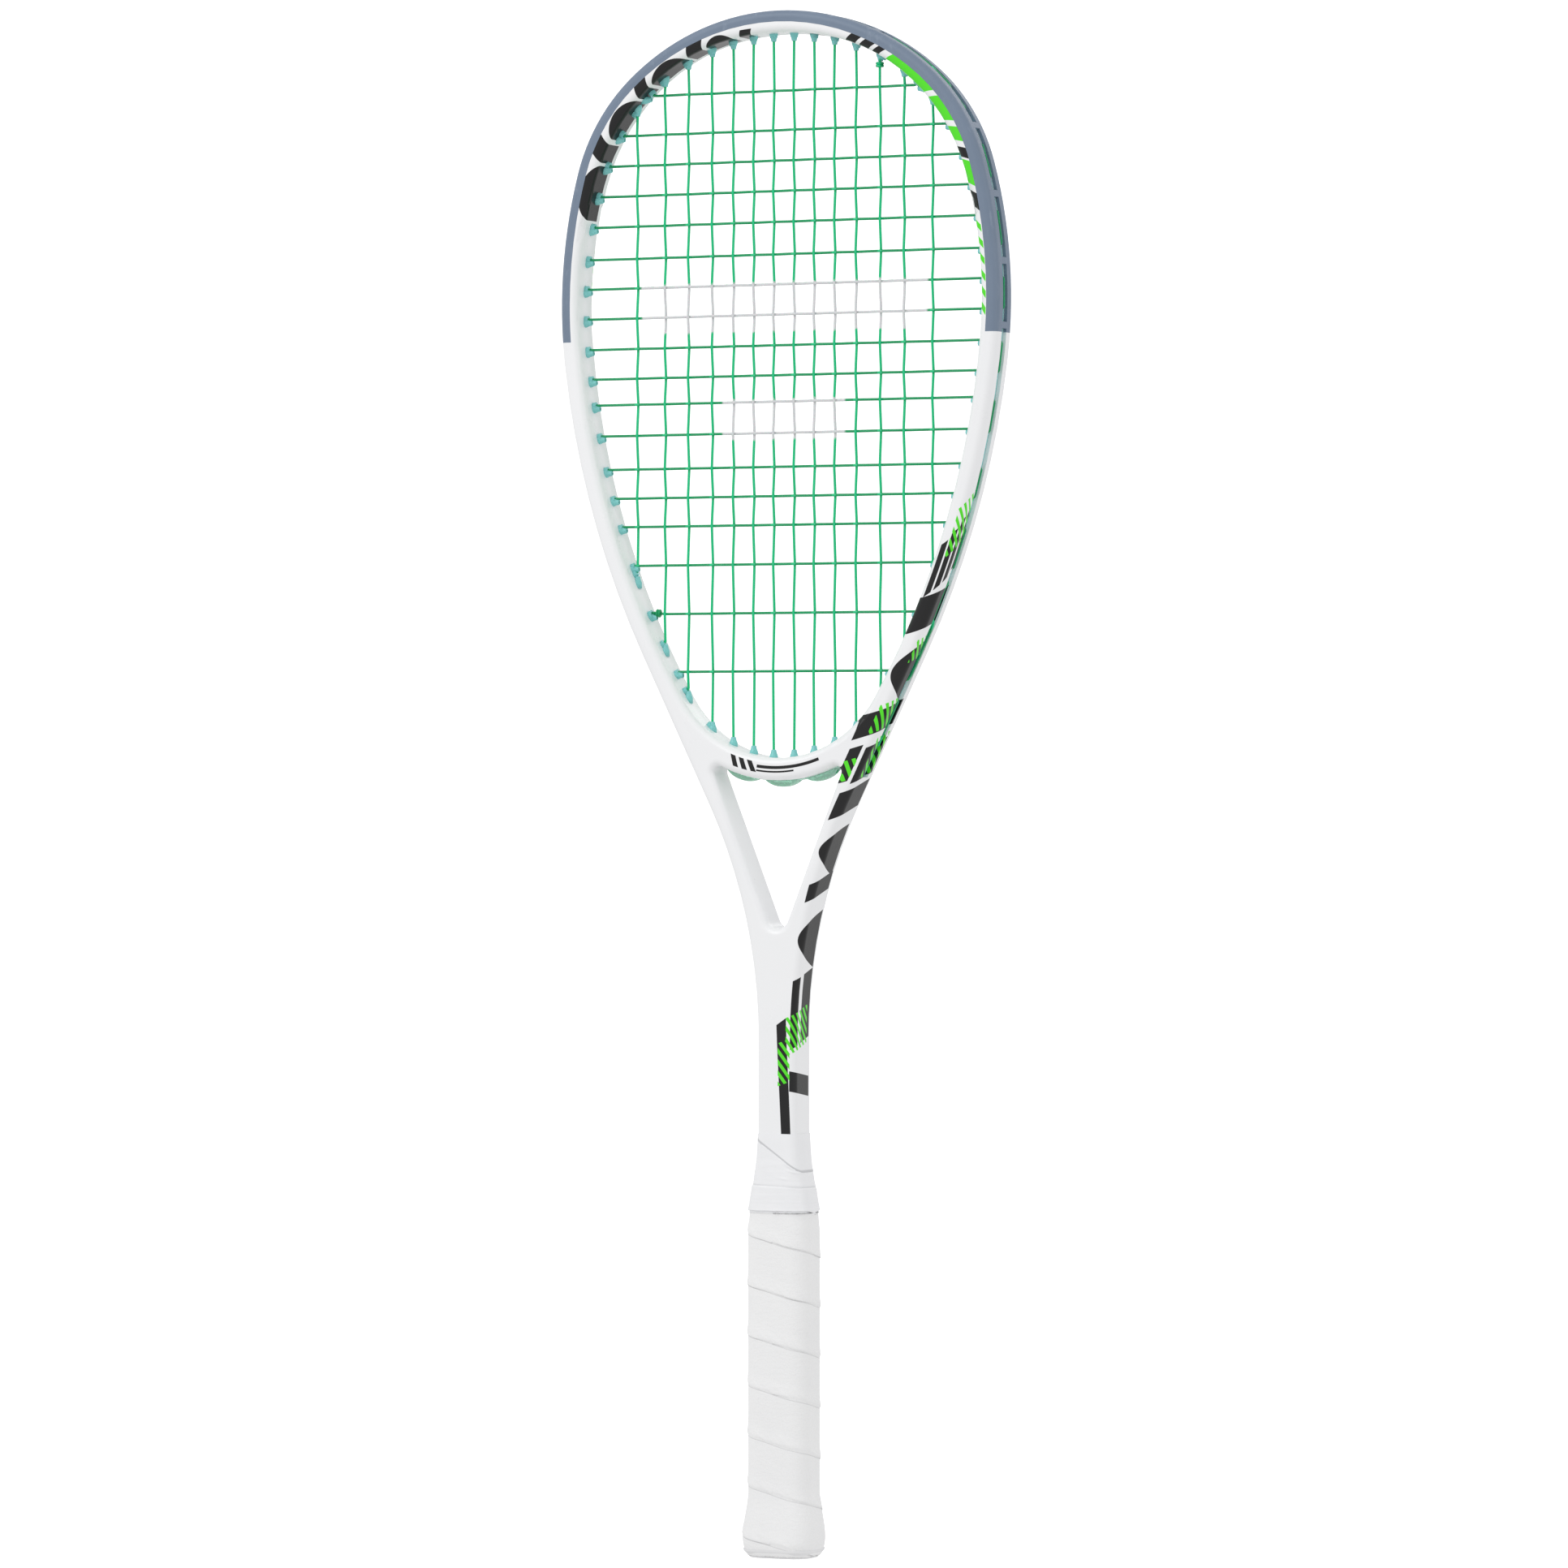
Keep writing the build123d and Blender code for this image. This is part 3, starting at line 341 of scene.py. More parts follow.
def hoop_marks(x, y, z):
    """Generic dashes and low domes round the upper left of the hoop, on its front and inner edge."""
    out, along = arc_place(x, z, SHOULDER_ARC)
    slid = along - out * 0.55

    def dash(start, end, reach):
        return low(inside(slid, start, end), step(reach - out))

    def dome(start, end, reach):
        rise = (along - (start + end) / 2) * (2 / (end - start))
        return step((1.0 - rise * rise) * reach - out)

    marks = any_of([
        dome(8.0, 34.0, 5.6), dash(35.5, 44.5, 6.2), dome(47.0, 68.0, 4.2),
        dash(69.5, 76.5, 5.2), dome(78.5, 98.0, 3.6), dash(99.5, 107.5, 6.0),
        dome(109.5, 123.0, 3.0), dash(126.5, 132.0, 2.6),
    ])
    crown = low(inside(x, -9.0, 8.0), inside(z, TOP - 11.4, TOP - 10.2))
    return all_of(high(marks, crown), step(3.5 - y), step(x + 9.0))


def right_hoop(x, y, z):
    """Lime runs and black dashes inside the upper right of the hoop."""
    out, along = arc_place(x, z, SHOULDER_ARC)
    shown = all_of(step(x), step(-7.0 - y))
    slid = along + out * 0.7

    def runs(*ranges):
        return low(any_of([inside(slid, a, b) for a, b in ranges]), step(4.8 - out))

    lime = runs((66.0, 90.0), (50.0, 63.0), (40.0, 47.0), (20.0, 31.0))
    dark = runs(
        (94.0, 97.5), (99.5, 104.5), (106.5, 111.5), (80.5, 83.5), (32.0, 37.0), (10.0, 17.0),
    )
    side_out, side_along = arc_place(x, z, SIDE_ARC)
    ticks = all_of(
        step(line_wave(side_along + side_out * 1.2, 7.2) - 2.0),
        step(3.0 - side_out), inside(z, 548.0, 590.0),
    )
    return low(lime, shown), low(dark, shown), low(ticks, shown)


def bridge_marks(x, y, z):
    """A short run of plain slanted ticks and a thin line on the front of the bridge."""
    out, along = arc_place(x, z, BRIDGE_ARC)
    s = along + math.pi / 2 * BRIDGE_ARC[2]
    ticks = any_of([
        low(inside(s - out * 0.6, a, a + 2.4), inside(out, 2.4, 7.0))
        for a in (-23.0, -19.0, -15.0)
    ])
    line = any_of([
        low(inside(s, -8.5, 20.0), inside(out, 3.6, 5.0)),
        low(inside(s, -8.5, 8.0), inside(out, 5.8, 6.6)),
    ])
    return low(high(ticks, line), step(-6.0 - y))


# ---------------------------------------------------------------- materials
def frame_material():
    made, sockets = material(
        "frame_lacquer", Coat_Weight=0.2, Coat_Roughness=0.07, Coat_IOR=1.5, IOR=1.5,
        Specular_IOR_Level=0.35,
    )
    x, y, z = place()
    # the printing on the back is the front's, turned half a turn about the handle
    side = sign_of(x)
    marks, lime = leg_marks(size_of(x), y * side, z)
    hoop_lime, hoop_dark, zebra = right_hoop(size_of(x), y * side, z)
    back = sign_of(y)
    hoop = hoop_marks(size_of(x), y * side * -1.0, z)
    bridge = bridge_marks(x * back * -1.0, size_of(y) * -1.0, z)
    dark = any_of([marks, hoop, hoop_dark, bridge])
    cloud = noise(14.0, 3.0, 0.6)
    white = mix(cloud, srgb(238, 239, 241), srgb(246, 246, 247))
    inked = mix(dark, white, srgb(9, 9, 11))
    colour = mix(any_of([lime, hoop_lime, zebra]), inked, srgb(82, 226, 28))
    Field.tree.links.new(colour.source, sockets["Base Color"])
    smear = noise(55.0, 4.0, 0.65)
    feed(sockets["Roughness"], smear * 0.14 + 0.22)
    peel = bump(noise(900.0, 1.0), 0.00002)
    ink_edge = bump(dark, 0.00003, peel)
    Field.tree.links.new(ink_edge.source, sockets["Normal"])
    return made


def bumper_material():
    made, sockets = material("bumper_plastic", IOR=1.46)
    x, y, z = place()
    cloud = noise(30.0, 4.0, 0.6)
    grain = noise(2600.0, 2.0, 0.6)
    scuff = noise(240.0, 3.0, 0.7, (1.0, 1.0, 0.25))
    base = mix(cloud, srgb(106, 121, 141), srgb(122, 137, 157))
    rubbed = mix(step(scuff * 10.0 - 6.4, 1.2) * 0.25, base, srgb(160, 172, 188))
    Field.tree.links.new(rubbed.source, sockets["Base Color"])
    feed(sockets["Roughness"], cloud * 0.16 + 0.36)
    Field.tree.links.new(bump(grain, 0.00006).source, sockets["Normal"])
    return made


def grommet_material(name, tint, clear):
    made, sockets = material(name, IOR=1.49, Transmission_Weight=clear)
    cloud = noise(180.0, 2.0, 0.5)
    colour = mix(cloud, tint, tuple(min(1.0, c * 1.25) for c in tint))
    Field.tree.links.new(colour.source, sockets["Base Color"])
    feed(sockets["Roughness"], cloud * 0.15 + 0.2)
    Field.tree.links.new(bump(noise(1500.0), 0.00003).source, sockets["Normal"])
    return made


def string_material():
    made, sockets = material(
        "string_monofilament", IOR=1.5, Coat_Weight=0.1, Coat_Roughness=0.2,
        Specular_IOR_Level=0.35,
    )
    x, y, z = place()
    offset = size_of(x)
    nearest = size_of(offset - MAIN_X[0])
    for main in MAIN_X[1:]:
        nearest = low(nearest, size_of(offset - main))
    mains = step(0.95 - nearest, 0.4)
    bed = low(step(BED_HALF_DEPTH - size_of(y)), step(z - BED_LOW_Z))
    cloud = noise(60.0, 3.0, 0.6)
    # painted shade: the crosses take a darker copy of the mains' green, standing in for the light
    # they catch less
    shaded_cross_green = mix(cloud, srgb(6, 146, 90), srgb(10, 162, 100))
    main = mix(cloud, srgb(8, 188, 122), srgb(12, 202, 136))
    green = mix(mains, shaded_cross_green, main)
    # a plain two-bar stencil, with the soft, broken edge of brushed ink
    edge = noise(420.0, 2.0, 0.6) * 3.0
    wide, short = (
        low(inside(z + edge, start, end, 1.0), step(half_width - offset, 1.0))
        for start, end, half_width in (WIDE_BAR, SHORT_BAR)
    )
    ink = low(high(wide, short), step(1.6 - y))
    worn = noise(1500.0, 3.0, 0.7)
    shade = mix(worn, srgb(196, 198, 201), srgb(226, 227, 228))
    colour = mix(low(ink, bed), green, shade)
    Field.tree.links.new(colour.source, sockets["Base Color"])
    feed(sockets["Roughness"], ink * 0.3 + 0.26)
    sockets["Subsurface Weight"].default_value = 0.15
    sockets["Subsurface Radius"].default_value = (0.0004, 0.0012, 0.0008)
    Field.tree.links.new(bump(noise(3000.0, 2.0), 0.00002).source, sockets["Normal"])
    return made


def grip_material():
    made, sockets = material(
        "grip_polymer", IOR=1.45, Sheen_Weight=0.25, Sheen_Roughness=0.5
    )
    x, y, z = place()
    cloud = noise(45.0, 4.0, 0.6)
    wrap_white = mix(cloud, srgb(237, 237, 238), srgb(245, 245, 245))
    angle = Field.math("ARCTAN2", x, y * -1.0) * (1 / (2 * math.pi))
    phase = Field.math("FRACT", (z + WRAP_PITCH * 8.0) * (1 / WRAP_PITCH) + angle - 0.25)
    # painted shade: a grey line along each wound edge darkens the seam's crease in the colour
    seam_shade_mask = low(step(0.012 - size_of(phase - 0.004), 0.02), step(148.0 - z, 1.0))
    painted_seam_shade = mix(seam_shade_mask * 0.4, wrap_white, srgb(176, 176, 178))
    Field.tree.links.new(painted_seam_shade.source, sockets["Base Color"])
    feed(sockets["Roughness"], cloud * 0.12 + 0.58)
    pebble = bump(cells(1500.0), 0.00007)
    crease = bump(noise(260.0, 4.0, 0.6, (1, 1, 2.4)), 0.00022, pebble)
    Field.tree.links.new(crease.source, sockets["Normal"])
    return made


def tape_material():
    made, sockets = material("tape_vinyl", IOR=1.5, Coat_Weight=0.15, Coat_Roughness=0.3)
    cloud = noise(70.0, 3.0, 0.6)
    x, y, z = place()
    # painted shadow: a grey line just above the straight turn's top edge, where its lip shades the
    # tape
    ledge = inside(z + x * 0.05, TAPE_LEDGE_Z + 0.1, TAPE_LEDGE_Z + 0.7, 0.5)
    white = mix(cloud, srgb(236, 237, 239), srgb(244, 244, 246))
    colour = mix(ledge * 0.3, white, srgb(176, 177, 180))
    Field.tree.links.new(colour.source, sockets["Base Color"])
    feed(sockets["Roughness"], cloud * 0.15 + 0.3)
    fine = bump(noise(1900.0, 2.0), 0.00003)
    pull = bump(noise(120.0, 3.0, 0.5, (1, 1, 3.0)), 0.00025, fine)
    Field.tree.links.new(pull.source, sockets["Normal"])
    return made


def pallet_material():
    """White painted foam, with the soft shadow line that the tape's slanted edge leaves on it."""
    made, sockets = material("pallet_foam", IOR=1.47)
    x, y, z = place()
    above = z - TAPE_EDGE_Z + x * TAPE_EDGE_SLOPE
    cloud = noise(80.0, 3.0, 0.6)
    line = inside(above, -0.4, 0.75, 0.6)
    white = mix(cloud, srgb(236, 237, 239), srgb(244, 244, 246))
    Field.tree.links.new(mix(line * 0.5, white, srgb(150, 151, 154)).source, sockets["Base Color"])
    feed(sockets["Roughness"], cloud * 0.15 + 0.4)
    Field.tree.links.new(bump(noise(900.0, 2.0), 0.00003).source, sockets["Normal"])
    return made


def plain_plastic(name, dark, light, rough, grain=1200.0):
    made, sockets = material(name, IOR=1.47)
    cloud = noise(80.0, 3.0, 0.6)
    Field.tree.links.new(mix(cloud, dark, light).source, sockets["Base Color"])
    feed(sockets["Roughness"], cloud * 0.15 + rough)
    Field.tree.links.new(bump(noise(grain, 2.0), 0.00004).source, sockets["Normal"])
    return made


def steel_material():
    made, sockets = material("staple_steel", Metallic=1.0)
    streak = noise(900.0, 3.0, 0.6, (1.0, 1.0, 0.15))
    Field.tree.links.new(
        mix(streak, srgb(150, 152, 156), srgb(196, 198, 202)).source, sockets["Base Color"]
    )
    feed(sockets["Roughness"], streak * 0.2 + 0.25)
    Field.tree.links.new(bump(streak, 0.00002).source, sockets["Normal"])
    return made


# ---------------------------------------------------------------- grip and tape meshes
def smoothstep(t):
    t = min(1.0, max(0.0, t))
    return t * t * (3 - 2 * t)


def wave(*terms):
    """A repeatable wander: the sum of (size, rate, shift) sines at a place."""
    def at(u):
        return sum(size * math.sin(rate * u + shift) for size, rate, shift in terms)
    return at


def rounded(turn, half_x, half_y, corner):
    """Point and outward direction on a rounded rectangle, by the share of the way round.

    0 is the front's middle, and the way round goes by the photograph's right.
    """
    flat_x, flat_y = half_x - corner, half_y - corner
    arc = math.pi / 2 * corner
    lengths = [flat_x, arc, 2 * flat_y, arc, 2 * flat_x, arc, 2 * flat_y, arc, flat_x]
    left = (turn % 1.0) * sum(lengths)
    starts = [
        ((0, -half_y), (1, 0)), ((flat_x, -flat_y), -90), ((half_x, -flat_y), (0, 1)),
        ((flat_x, flat_y), 0), ((flat_x, half_y), (-1, 0)), ((-flat_x, flat_y), 90),
        ((-half_x, flat_y), (0, -1)), ((-flat_x, -flat_y), 180), ((-flat_x, -half_y), (1, 0)),
    ]
    for length, (point, heading) in zip(lengths, starts):
        if left <= length or point == starts[-1][0]:
            break
        left -= length
    if isinstance(heading, tuple):
        outward = Vector((heading[1], -heading[0]))
        return Vector(point) + Vector(heading) * left, outward
    a = math.radians(heading) + left / corner
    outward = Vector((math.cos(a), math.sin(a)))
    return Vector(point) + outward * corner, outward


def add_piece(name, points, faces, made):
    """A smooth mesh from points in mm, dressed and riding on the root."""
    mesh = bpy.data.meshes.new(name)
    mesh.from_pydata([tuple(c * MM for c in p) for p in points], [], faces)
    tidy = bmesh.new()
    tidy.from_mesh(mesh)
    bmesh.ops.remove_doubles(tidy, verts=tidy.verts, dist=2e-6)
    bmesh.ops.dissolve_degenerate(tidy, dist=1e-6, edges=tidy.edges)
    bmesh.ops.recalc_face_normals(tidy, faces=tidy.faces)
    tidy.to_mesh(mesh)
    tidy.free()
    for polygon in mesh.polygons:
        polygon.use_smooth = True
    piece = bpy.data.objects.new(name, mesh)
    bpy.context.scene.collection.objects.link(piece)
    dress(piece, made)
    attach(piece, "root")
    return piece


GRIP_COLUMNS = 144
ROWS_PER_TURN = 56
FULL_TURN = 2 * math.pi


def grip_half_sizes(z):
    """Half width, half depth and corner of the grip's outside at height z, mm."""
    flare = 1 - smoothstep((z - BUTT_ROUND_Z) / (FLARE_TOP_Z - BUTT_ROUND_Z))
    flare_x = (GRIP_HIGH.x - GRIP_LOW.x - GRIP_WIDTH) / 2
    flare_y = (GRIP_HIGH.y - GRIP_LOW.y - GRIP_DEPTH) / 2
    shrink = 0.0
    if z < BUTT_ROUND_Z:
        t = (BUTT_ROUND_Z - z) / BUTT_ROUND_Z
        shrink = 3.2 * (1 - math.sqrt(max(0.0, 1 - t * t * 0.98)))
    neck = NECK * smoothstep((z - NECK_LOW_Z) / NECK_LENGTH)
    return (
        GRIP_WIDTH / 2 + flare_x * flare - shrink - neck,
        GRIP_DEPTH / 2 + flare_y * flare - shrink - neck,
        GRIP_CORNER + 1.2 * flare,
    )


def wound_grip():
    """The wrap: one strip wound up the handle, each turn lapping the one below."""
    bottom, top = 0.9, GRIP_HIGH.z
    turns = int((top - bottom) / WRAP_PITCH) + 4
    rows = turns * ROWS_PER_TURN
    start = bottom - 2 * WRAP_PITCH
    slack = wave((0.10, 5.1, 0.3), (0.07, 11.7, 1.9), (0.05, 23.0, 4.0))
    wander = wave((0.45, 2.3, 0.8), (0.25, 6.1, 2.2))
    points, faces = [], []
    for i in range(rows + 1):
        share = (i % ROWS_PER_TURN) / ROWS_PER_TURN
        for j in range(GRIP_COLUMNS):
            turn = j / GRIP_COLUMNS
            level = start + (i / ROWS_PER_TURN - turn + 0.25) * WRAP_PITCH
            edge = wander((level / WRAP_PITCH * 0.37 + turn) * FULL_TURN)
            z = min(top, max(bottom, level + edge * (1 - smoothstep(share * 4))))
            lap = 1 - smoothstep(share / 0.30)
            groove = math.exp(-((share if share < 0.5 else 1 - share) / 0.02) ** 2)
            lift = (lap * WRAP_STEP - groove * 0.16) * smoothstep((z - 3.0) / 4.0)
            lift += slack(turn * 2 * FULL_TURN + level * 0.13) * 0.6 * lap
            half_x, half_y, corner = grip_half_sizes(z)
            point, outward = rounded(turn, half_x, half_y, corner)
            point = point + outward * (lift - 0.12)
            points.append((point.x, point.y, z))
    columns = GRIP_COLUMNS
    for i in range(rows):
        for j in range(columns - 1):
            a = i * columns + j
            faces.append((a, a + 1, a + columns + 1, a + columns))
        if i >= ROWS_PER_TURN:
            a, b = i * columns + columns - 1, (i - ROWS_PER_TURN) * columns
            faces.append((a, b, b + columns, a + columns))
    return points, faces


def cad_profile(node):
    """Half width and half depth of a tapering CAD node's outside against height, mm."""
    widest = {}
    for v in NODES[node].data.vertices:
        level = round(v.co.z / MM)
        half_x, half_y = widest.get(level, (0.0, 0.0))
        widest[level] = (max(half_x, -v.co.x / MM), max(half_y, abs(v.co.y) / MM))
    levels = sorted(widest)

    def at(z):
        below = max((k for k in levels if k <= z), default=levels[0])
        above = min((k for k in levels if k >= z), default=levels[-1])
        t = 0.0 if above == below else (z - below) / (above - below)
        return tuple(a + (b - a) * t for a, b in zip(widest[below], widest[above]))
    return at


TAPE_COLUMNS = 160
TAPE_ROWS = 130
MOST_TAPE_LIFT = 0.62
TAPE_TUCK = 0.45


def wound_tape():
    """The finishing tape: one straight turn over a longer one with a slanted edge, and folds."""
    half = cad_profile("finishing_tape")
    bottom = GRIP_HIGH.z - 0.6
    folds = [
        # x, z, lean, length, height, width
        (7.4, 173.4, -34, 5.5, 0.34, 0.55),
        (8.6, 171.2, -18, 4.5, 0.30, 0.50),
        (5.0, 168.2, -8, 6.0, 0.16, 0.60),
        (-6.0, 160.0, 6, 8.0, 0.10, 0.90),
    ]
    points, faces = [], []
    for i in range(TAPE_ROWS + 1):
        for j in range(TAPE_COLUMNS):
            turn = j / TAPE_COLUMNS
            top = TAPE_EDGE_Z
            for _ in range(3):     # the edge's height depends on the section there
                half_x, half_y = half(top)
                point, outward = rounded(turn, half_x, half_y, 7.0)
                top = TAPE_EDGE_Z - point.x * TAPE_EDGE_SLOPE
                top = min(max(top, bottom + 8.0), TAPE_HIGH.z + 0.4)
            z = bottom + (top - bottom) * i / TAPE_ROWS
            half_x, half_y = half(z)
            shift = smoothstep((z - bottom) / (TAPE_HIGH.z - bottom))
            point, outward = rounded(turn, half_x, half_y, 7.6 - 1.4 * shift)
            ledge = TAPE_LEDGE_Z - 0.05 * point.x + 0.25 * math.sin(turn * 12.6 + 1.0)
            lift = 0.10 + 0.26 * (1 - smoothstep((z - ledge + 0.35) / 0.5))
            lift -= 0.06 * math.exp(-((z - ledge - 0.5) / 0.4) ** 2)
            lift += 0.05 * math.sin(turn * 31.0 + z * 0.4) * math.sin(z * 0.23 + turn * 9.0)
            for x, height, lean, length, tall, wide in folds:
                a = math.radians(lean)
                du, dv = point.x - x, z - height
                along = du * math.cos(a) + dv * math.sin(a)
                across = -du * math.sin(a) + dv * math.cos(a)
                if point.y < 0:
                    lift += tall * math.exp(-(across / wide) ** 2 - (along / length * 2) ** 2)
            # the last row tucks in, so that the edge has a side
            lift = min(lift, MOST_TAPE_LIFT) if i < TAPE_ROWS else -TAPE_TUCK
            point = point + outward * lift
            points.append((point.x, point.y, z))
    for i in range(TAPE_ROWS):
        for j in range(TAPE_COLUMNS):
            a, b = i * TAPE_COLUMNS + j, i * TAPE_COLUMNS + (j + 1) % TAPE_COLUMNS
            faces.append((a, b, b + TAPE_COLUMNS, a + TAPE_COLUMNS))
    return points, faces


# ---------------------------------------------------------------- grommet tips
def on_arc(arc, x=None, z=None, upper=True):
    """The arc's point at that x (its upper or lower one) or at that z (its right one), mm."""
    if x is not None:
        rise = math.sqrt(arc[2] ** 2 - (x - arc[0]) ** 2)
        return x, arc[1] + (rise if upper else -rise)
    return arc[0] + math.sqrt(arc[2] ** 2 - (z - arc[1]) ** 2), z


def tip_places():
    """Where a string leaves each hole, and which way it goes: (x, z, direction x, direction z)."""
    places = []
    for x in MAIN_X:
        arc = CROWN_ARC if x < CROWN_END_X else SHOULDER_ARC
        places.append((*on_arc(arc, x=x), 0.0, -1.0))
        arc = BRIDGE_ARC if x < BRIDGE_END_X else INNER_LOWER_ARC
        places.append((*on_arc(arc, x=x, upper=False), 0.0, 1.0))
    for down in CROSS_DOWN:
        z = TOP - down
        if z > SHOULDER_END_Z:
            arc = SHOULDER_ARC
        elif z > SIDE_END_Z:
            arc = SIDE_ARC
        else:
            arc = INNER_LOWER_ARC
        places.append((*on_arc(arc, z=z), -1.0, 0.0))
    return places + [(-x, z, -dx, dz) for x, z, dx, dz in places]


TIP_SIDES = 20
TIP_PROFILE = (
    # along the string, radius (mm)
    (-2.0, 1.95), (0.2, 1.95), (0.8, 1.85), (1.5, 1.55), (2.2, 1.32), (3.0, 1.18),
    (3.35, 1.1), (3.45, 0.95), (3.3, 0.68), (2.0, 0.66),
)


def grommet_tips():
    """The soft flared end of every barrel, where its string comes out."""
    points, faces = [], []
    for x, z, dx, dz in tip_places():
        base = len(points)
        for t, radius in TIP_PROFILE:
            for k in range(TIP_SIDES):
                a = 2 * math.pi * k / TIP_SIDES
                off, y = radius * math.cos(a), radius * math.sin(a)
                points.append((x + dx * t - dz * off, y, z + dz * t + dx * off))
        for r in range(len(TIP_PROFILE) - 1):
            for k in range(TIP_SIDES):
                a, b = base + r * TIP_SIDES + k, base + r * TIP_SIDES + (k + 1) % TIP_SIDES
                faces.append((a, b, b + TIP_SIDES, a + TIP_SIDES))
        faces.append(tuple(base + k for k in range(TIP_SIDES)))
        last = base + (len(TIP_PROFILE) - 1) * TIP_SIDES
        faces.append(tuple(last + k for k in range(TIP_SIDES)))
    return points, faces


# ---------------------------------------------------------------- throat strip
BRIDGE_OUTER_RADIUS = 65.0
HUMP_PLACES = (-19.8, 0.0, 19.8)      # mm along the bridge; each covers the run between two holes
HUMP_REACH = 7.9
HUMP_ROWS, HUMP_COLUMNS = 40, 24


def throat_strip():
    """The strip under the bridge: a thin band with three smooth, clear humps over the strings."""
    rise = BRIDGE_ARC[1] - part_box("throat_grommet_strip")[0].z / MM - BRIDGE_OUTER_RADIUS
    half_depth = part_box("throat_grommet_strip")[1].y / MM
    points, faces = [], []

    def put(s, y, height):
        a = s / BRIDGE_OUTER_RADIUS
        r = BRIDGE_OUTER_RADIUS + height
        points.append((r * math.sin(a), y, BRIDGE_ARC[1] - r * math.cos(a)))

    def sheet(start, end, rows, height, sink):
        """A closed blister: its top follows height(share along, share across), its floor is sunk."""
        base = len(points)
        for side in (0, 1):
            for i in range(rows + 1):
                for j in range(HUMP_COLUMNS + 1):
                    u, v = i / rows, j / HUMP_COLUMNS
                    y = half_depth * math.sin((v - 0.5) * math.pi)
                    put(start + (end - start) * u, y, height(u, v) if side else sink)
        width, layer = HUMP_COLUMNS + 1, (rows + 1) * (HUMP_COLUMNS + 1)
        for side in (0, 1):
            for i in range(rows):
                for j in range(HUMP_COLUMNS):
                    a = base + side * layer + i * width + j
                    faces.append((a, a + 1, a + width + 1, a + width))
        rim = [i * width for i in range(rows + 1)]
        rim += [rows * width + j for j in range(1, width)]
        rim += [i * width + width - 1 for i in range(rows - 1, -1, -1)]
        rim += [j for j in range(width - 2, 0, -1)]
        for a, b in zip(rim, rim[1:] + rim[:1]):
            faces.append((base + a, base + b, base + layer + b, base + layer + a))

    def hump(u, v):
        along = abs(2 * u - 1) ** 2.3
        across = abs(2 * v - 1) ** 2.6
        return rise * max(0.0, 1 - along) ** 0.75 * max(0.0, 1 - across) ** 0.5

    for middle in HUMP_PLACES:
        sheet(middle - HUMP_REACH, middle + HUMP_REACH, HUMP_ROWS, hump, -0.5)
    ends = HUMP_PLACES[-1] + HUMP_REACH + 2.0
    sheet(-ends, ends, 90, lambda u, v: 0.28 * (1 - abs(2 * v - 1) ** 8), -0.6)
    return points, faces


# ---------------------------------------------------------------- dressing
dress(NODES["frame"], frame_material())
dress(NODES["bumper_guard"], bumper_material())
clear = grommet_material("grommet_clear", srgb(128, 206, 204), 0.15)
for name in ("head_grommet_strip", "left_grommet_strip", "right_grommet_strip"):
    dress(NODES[name], clear)
strings = string_material()
dress(NODES["string"], strings)
dress(NODES["tie_off_knots"], strings)
dress(
    NODES["butt_cap"],
    plain_plastic("cap_plastic", srgb(226, 226, 228), srgb(238, 238, 239), 0.38),
)
dress(NODES["handle_pallet"], pallet_material())
dress(NODES["shaft_plug"], plain_plastic("plug_foam", srgb(70, 70, 72), srgb(92, 92, 94), 0.75))
dress(NODES["butt_cap_staples"], steel_material())
grip_finish = grip_material()
dress(NODES["grip_wrap"], grip_finish)
tape_finish = tape_material()
dress(NODES["finishing_tape"], tape_finish)

wrap_points, wrap_faces = wound_grip()
wrap = add_piece("wound_grip", wrap_points, wrap_faces, grip_finish)
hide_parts("grip_wrap")
tape_points, tape_faces = wound_tape()
tape = add_piece("wound_tape", tape_points, tape_faces, tape_finish)
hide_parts("finishing_tape")
tip_points, tip_faces = grommet_tips()
add_piece("grommet_tips", tip_points, tip_faces, clear)
hump_points, hump_faces = throat_strip()
humps = add_piece(
    "throat_humps", hump_points, hump_faces,
    grommet_material("grommet_mint", srgb(178, 232, 208), 0.45),
)
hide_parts("throat_grommet_strip")

# ---------------------------------------------------------------- studio
FLOOR_REACH = 9.0
FLOOR_GLOW = 0.55           # keeps the sweep as white as the photograph's background
WORLD_GLOW = 0.78
CAMERA_AZIMUTH = 25.0
CAMERA_DISTANCE = 3.4
CAMERA_HEIGHT = 0.343
CAMERA_LENS = 175.8
SENSOR_WIDTH = 36.0


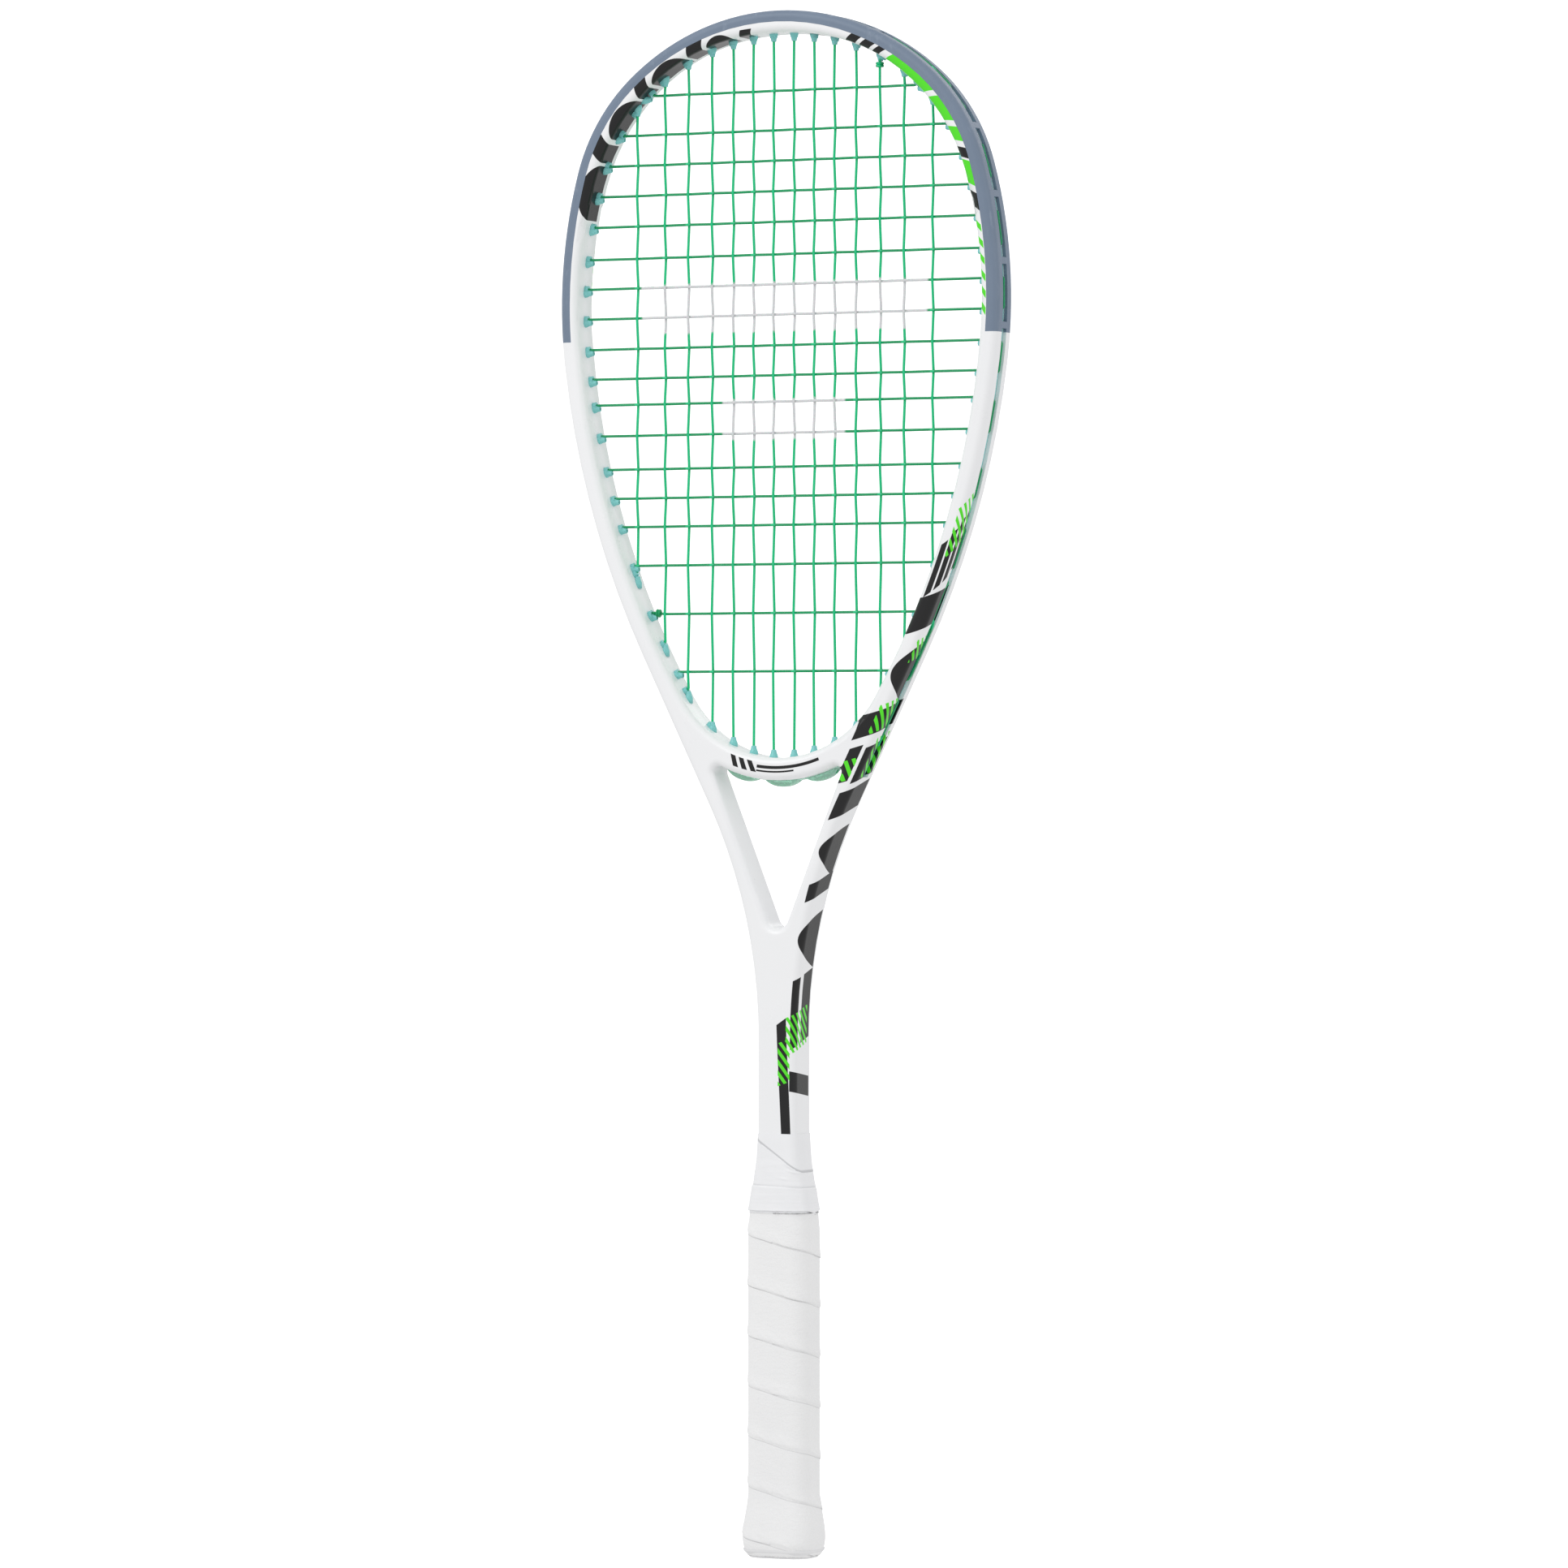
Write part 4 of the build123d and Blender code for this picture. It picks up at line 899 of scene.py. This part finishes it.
def sweep():
    """A pale floor that turns up into a backdrop behind, and runs all round."""
    mesh = bpy.data.meshes.new("floor")
    ring, steps = 96, []
    radius, bend = FLOOR_REACH, 2.4
    for r in (0.0, 0.4, 1.0, 2.5, radius - bend):
        steps.append((r, 0.0))
    for k in range(1, 13):
        a = math.pi / 2 * k / 12
        steps.append((radius - bend + bend * math.sin(a), bend - bend * math.cos(a)))
    steps.append((radius, 4.5))
    points, faces = [(0, 0, 0)], []
    for r, h in steps[1:]:
        for k in range(ring):
            a = 2 * math.pi * k / ring
            points.append((r * math.cos(a), r * math.sin(a), h))
    for k in range(ring):
        faces.append((0, 1 + k, 1 + (k + 1) % ring))
    for s in range(len(steps) - 2):
        for k in range(ring):
            a, b = 1 + s * ring + k, 1 + s * ring + (k + 1) % ring
            faces.append((a, a + ring, b + ring, b))
    mesh.from_pydata(points, [], faces)
    for polygon in mesh.polygons:
        polygon.use_smooth = True
    floor = bpy.data.objects.new("floor", mesh)
    bpy.context.scene.collection.objects.link(floor)
    made, sockets = material("floor_paint", Roughness=0.9)
    pale = mix(noise(3.0, 2.0), (0.93, 0.93, 0.93), (0.95, 0.95, 0.95))
    Field.tree.links.new(pale.source, sockets["Base Color"])
    sockets["Emission Color"].default_value = (1.0, 1.0, 1.0, 1.0)
    sockets["Emission Strength"].default_value = FLOOR_GLOW
    dress(floor, made)
    # it doesn't light the racket from all round
    floor.visible_diffuse = floor.visible_glossy = False


def area_light(name, azimuth, elevation, distance, size, power, target=(0, 0, 0.36)):
    data = bpy.data.lights.new(name, "AREA")
    data.shape, data.size, data.size_y = "RECTANGLE", size[0], size[1]
    data.energy = power
    lamp = bpy.data.objects.new(name, data)
    a, e = math.radians(azimuth), math.radians(elevation)
    back = Vector((math.sin(a) * math.cos(e), -math.cos(a) * math.cos(e), math.sin(e)))
    lamp.location = Vector(target) + back * distance
    lamp.rotation_mode = "QUATERNION"
    lamp.rotation_quaternion = back.to_track_quat("Z", "Y")
    bpy.context.scene.collection.objects.link(lamp)


sweep()
world = bpy.data.worlds.new("studio")
world.use_nodes = True
world.node_tree.nodes["Background"].inputs["Color"].default_value = (1.0, 1.0, 1.0, 1.0)
world.node_tree.nodes["Background"].inputs["Strength"].default_value = WORLD_GLOW
bpy.context.scene.world = world
bpy.context.scene.view_settings.view_transform = "Standard"

area_light("key", -28, 42, 2.6, (1.6, 1.6), 19)
area_light("fill", 78, 20, 2.8, (1.2, 1.8), 6)
area_light("rim", 170, 35, 2.8, (1.6, 1.2), 6)

lens = bpy.data.cameras.new("camera")
lens.sensor_width, lens.lens = SENSOR_WIDTH, CAMERA_LENS
camera = bpy.data.objects.new("camera", lens)
turn = math.radians(CAMERA_AZIMUTH)
camera.location = (
    CAMERA_DISTANCE * math.sin(turn), -CAMERA_DISTANCE * math.cos(turn), CAMERA_HEIGHT
)
camera.rotation_euler = (math.pi / 2, 0, turn)
lens.clip_start, lens.clip_end = 0.05, 60.0
bpy.context.scene.collection.objects.link(camera)
bpy.context.scene.camera = camera

bpy.context.view_layer.update()
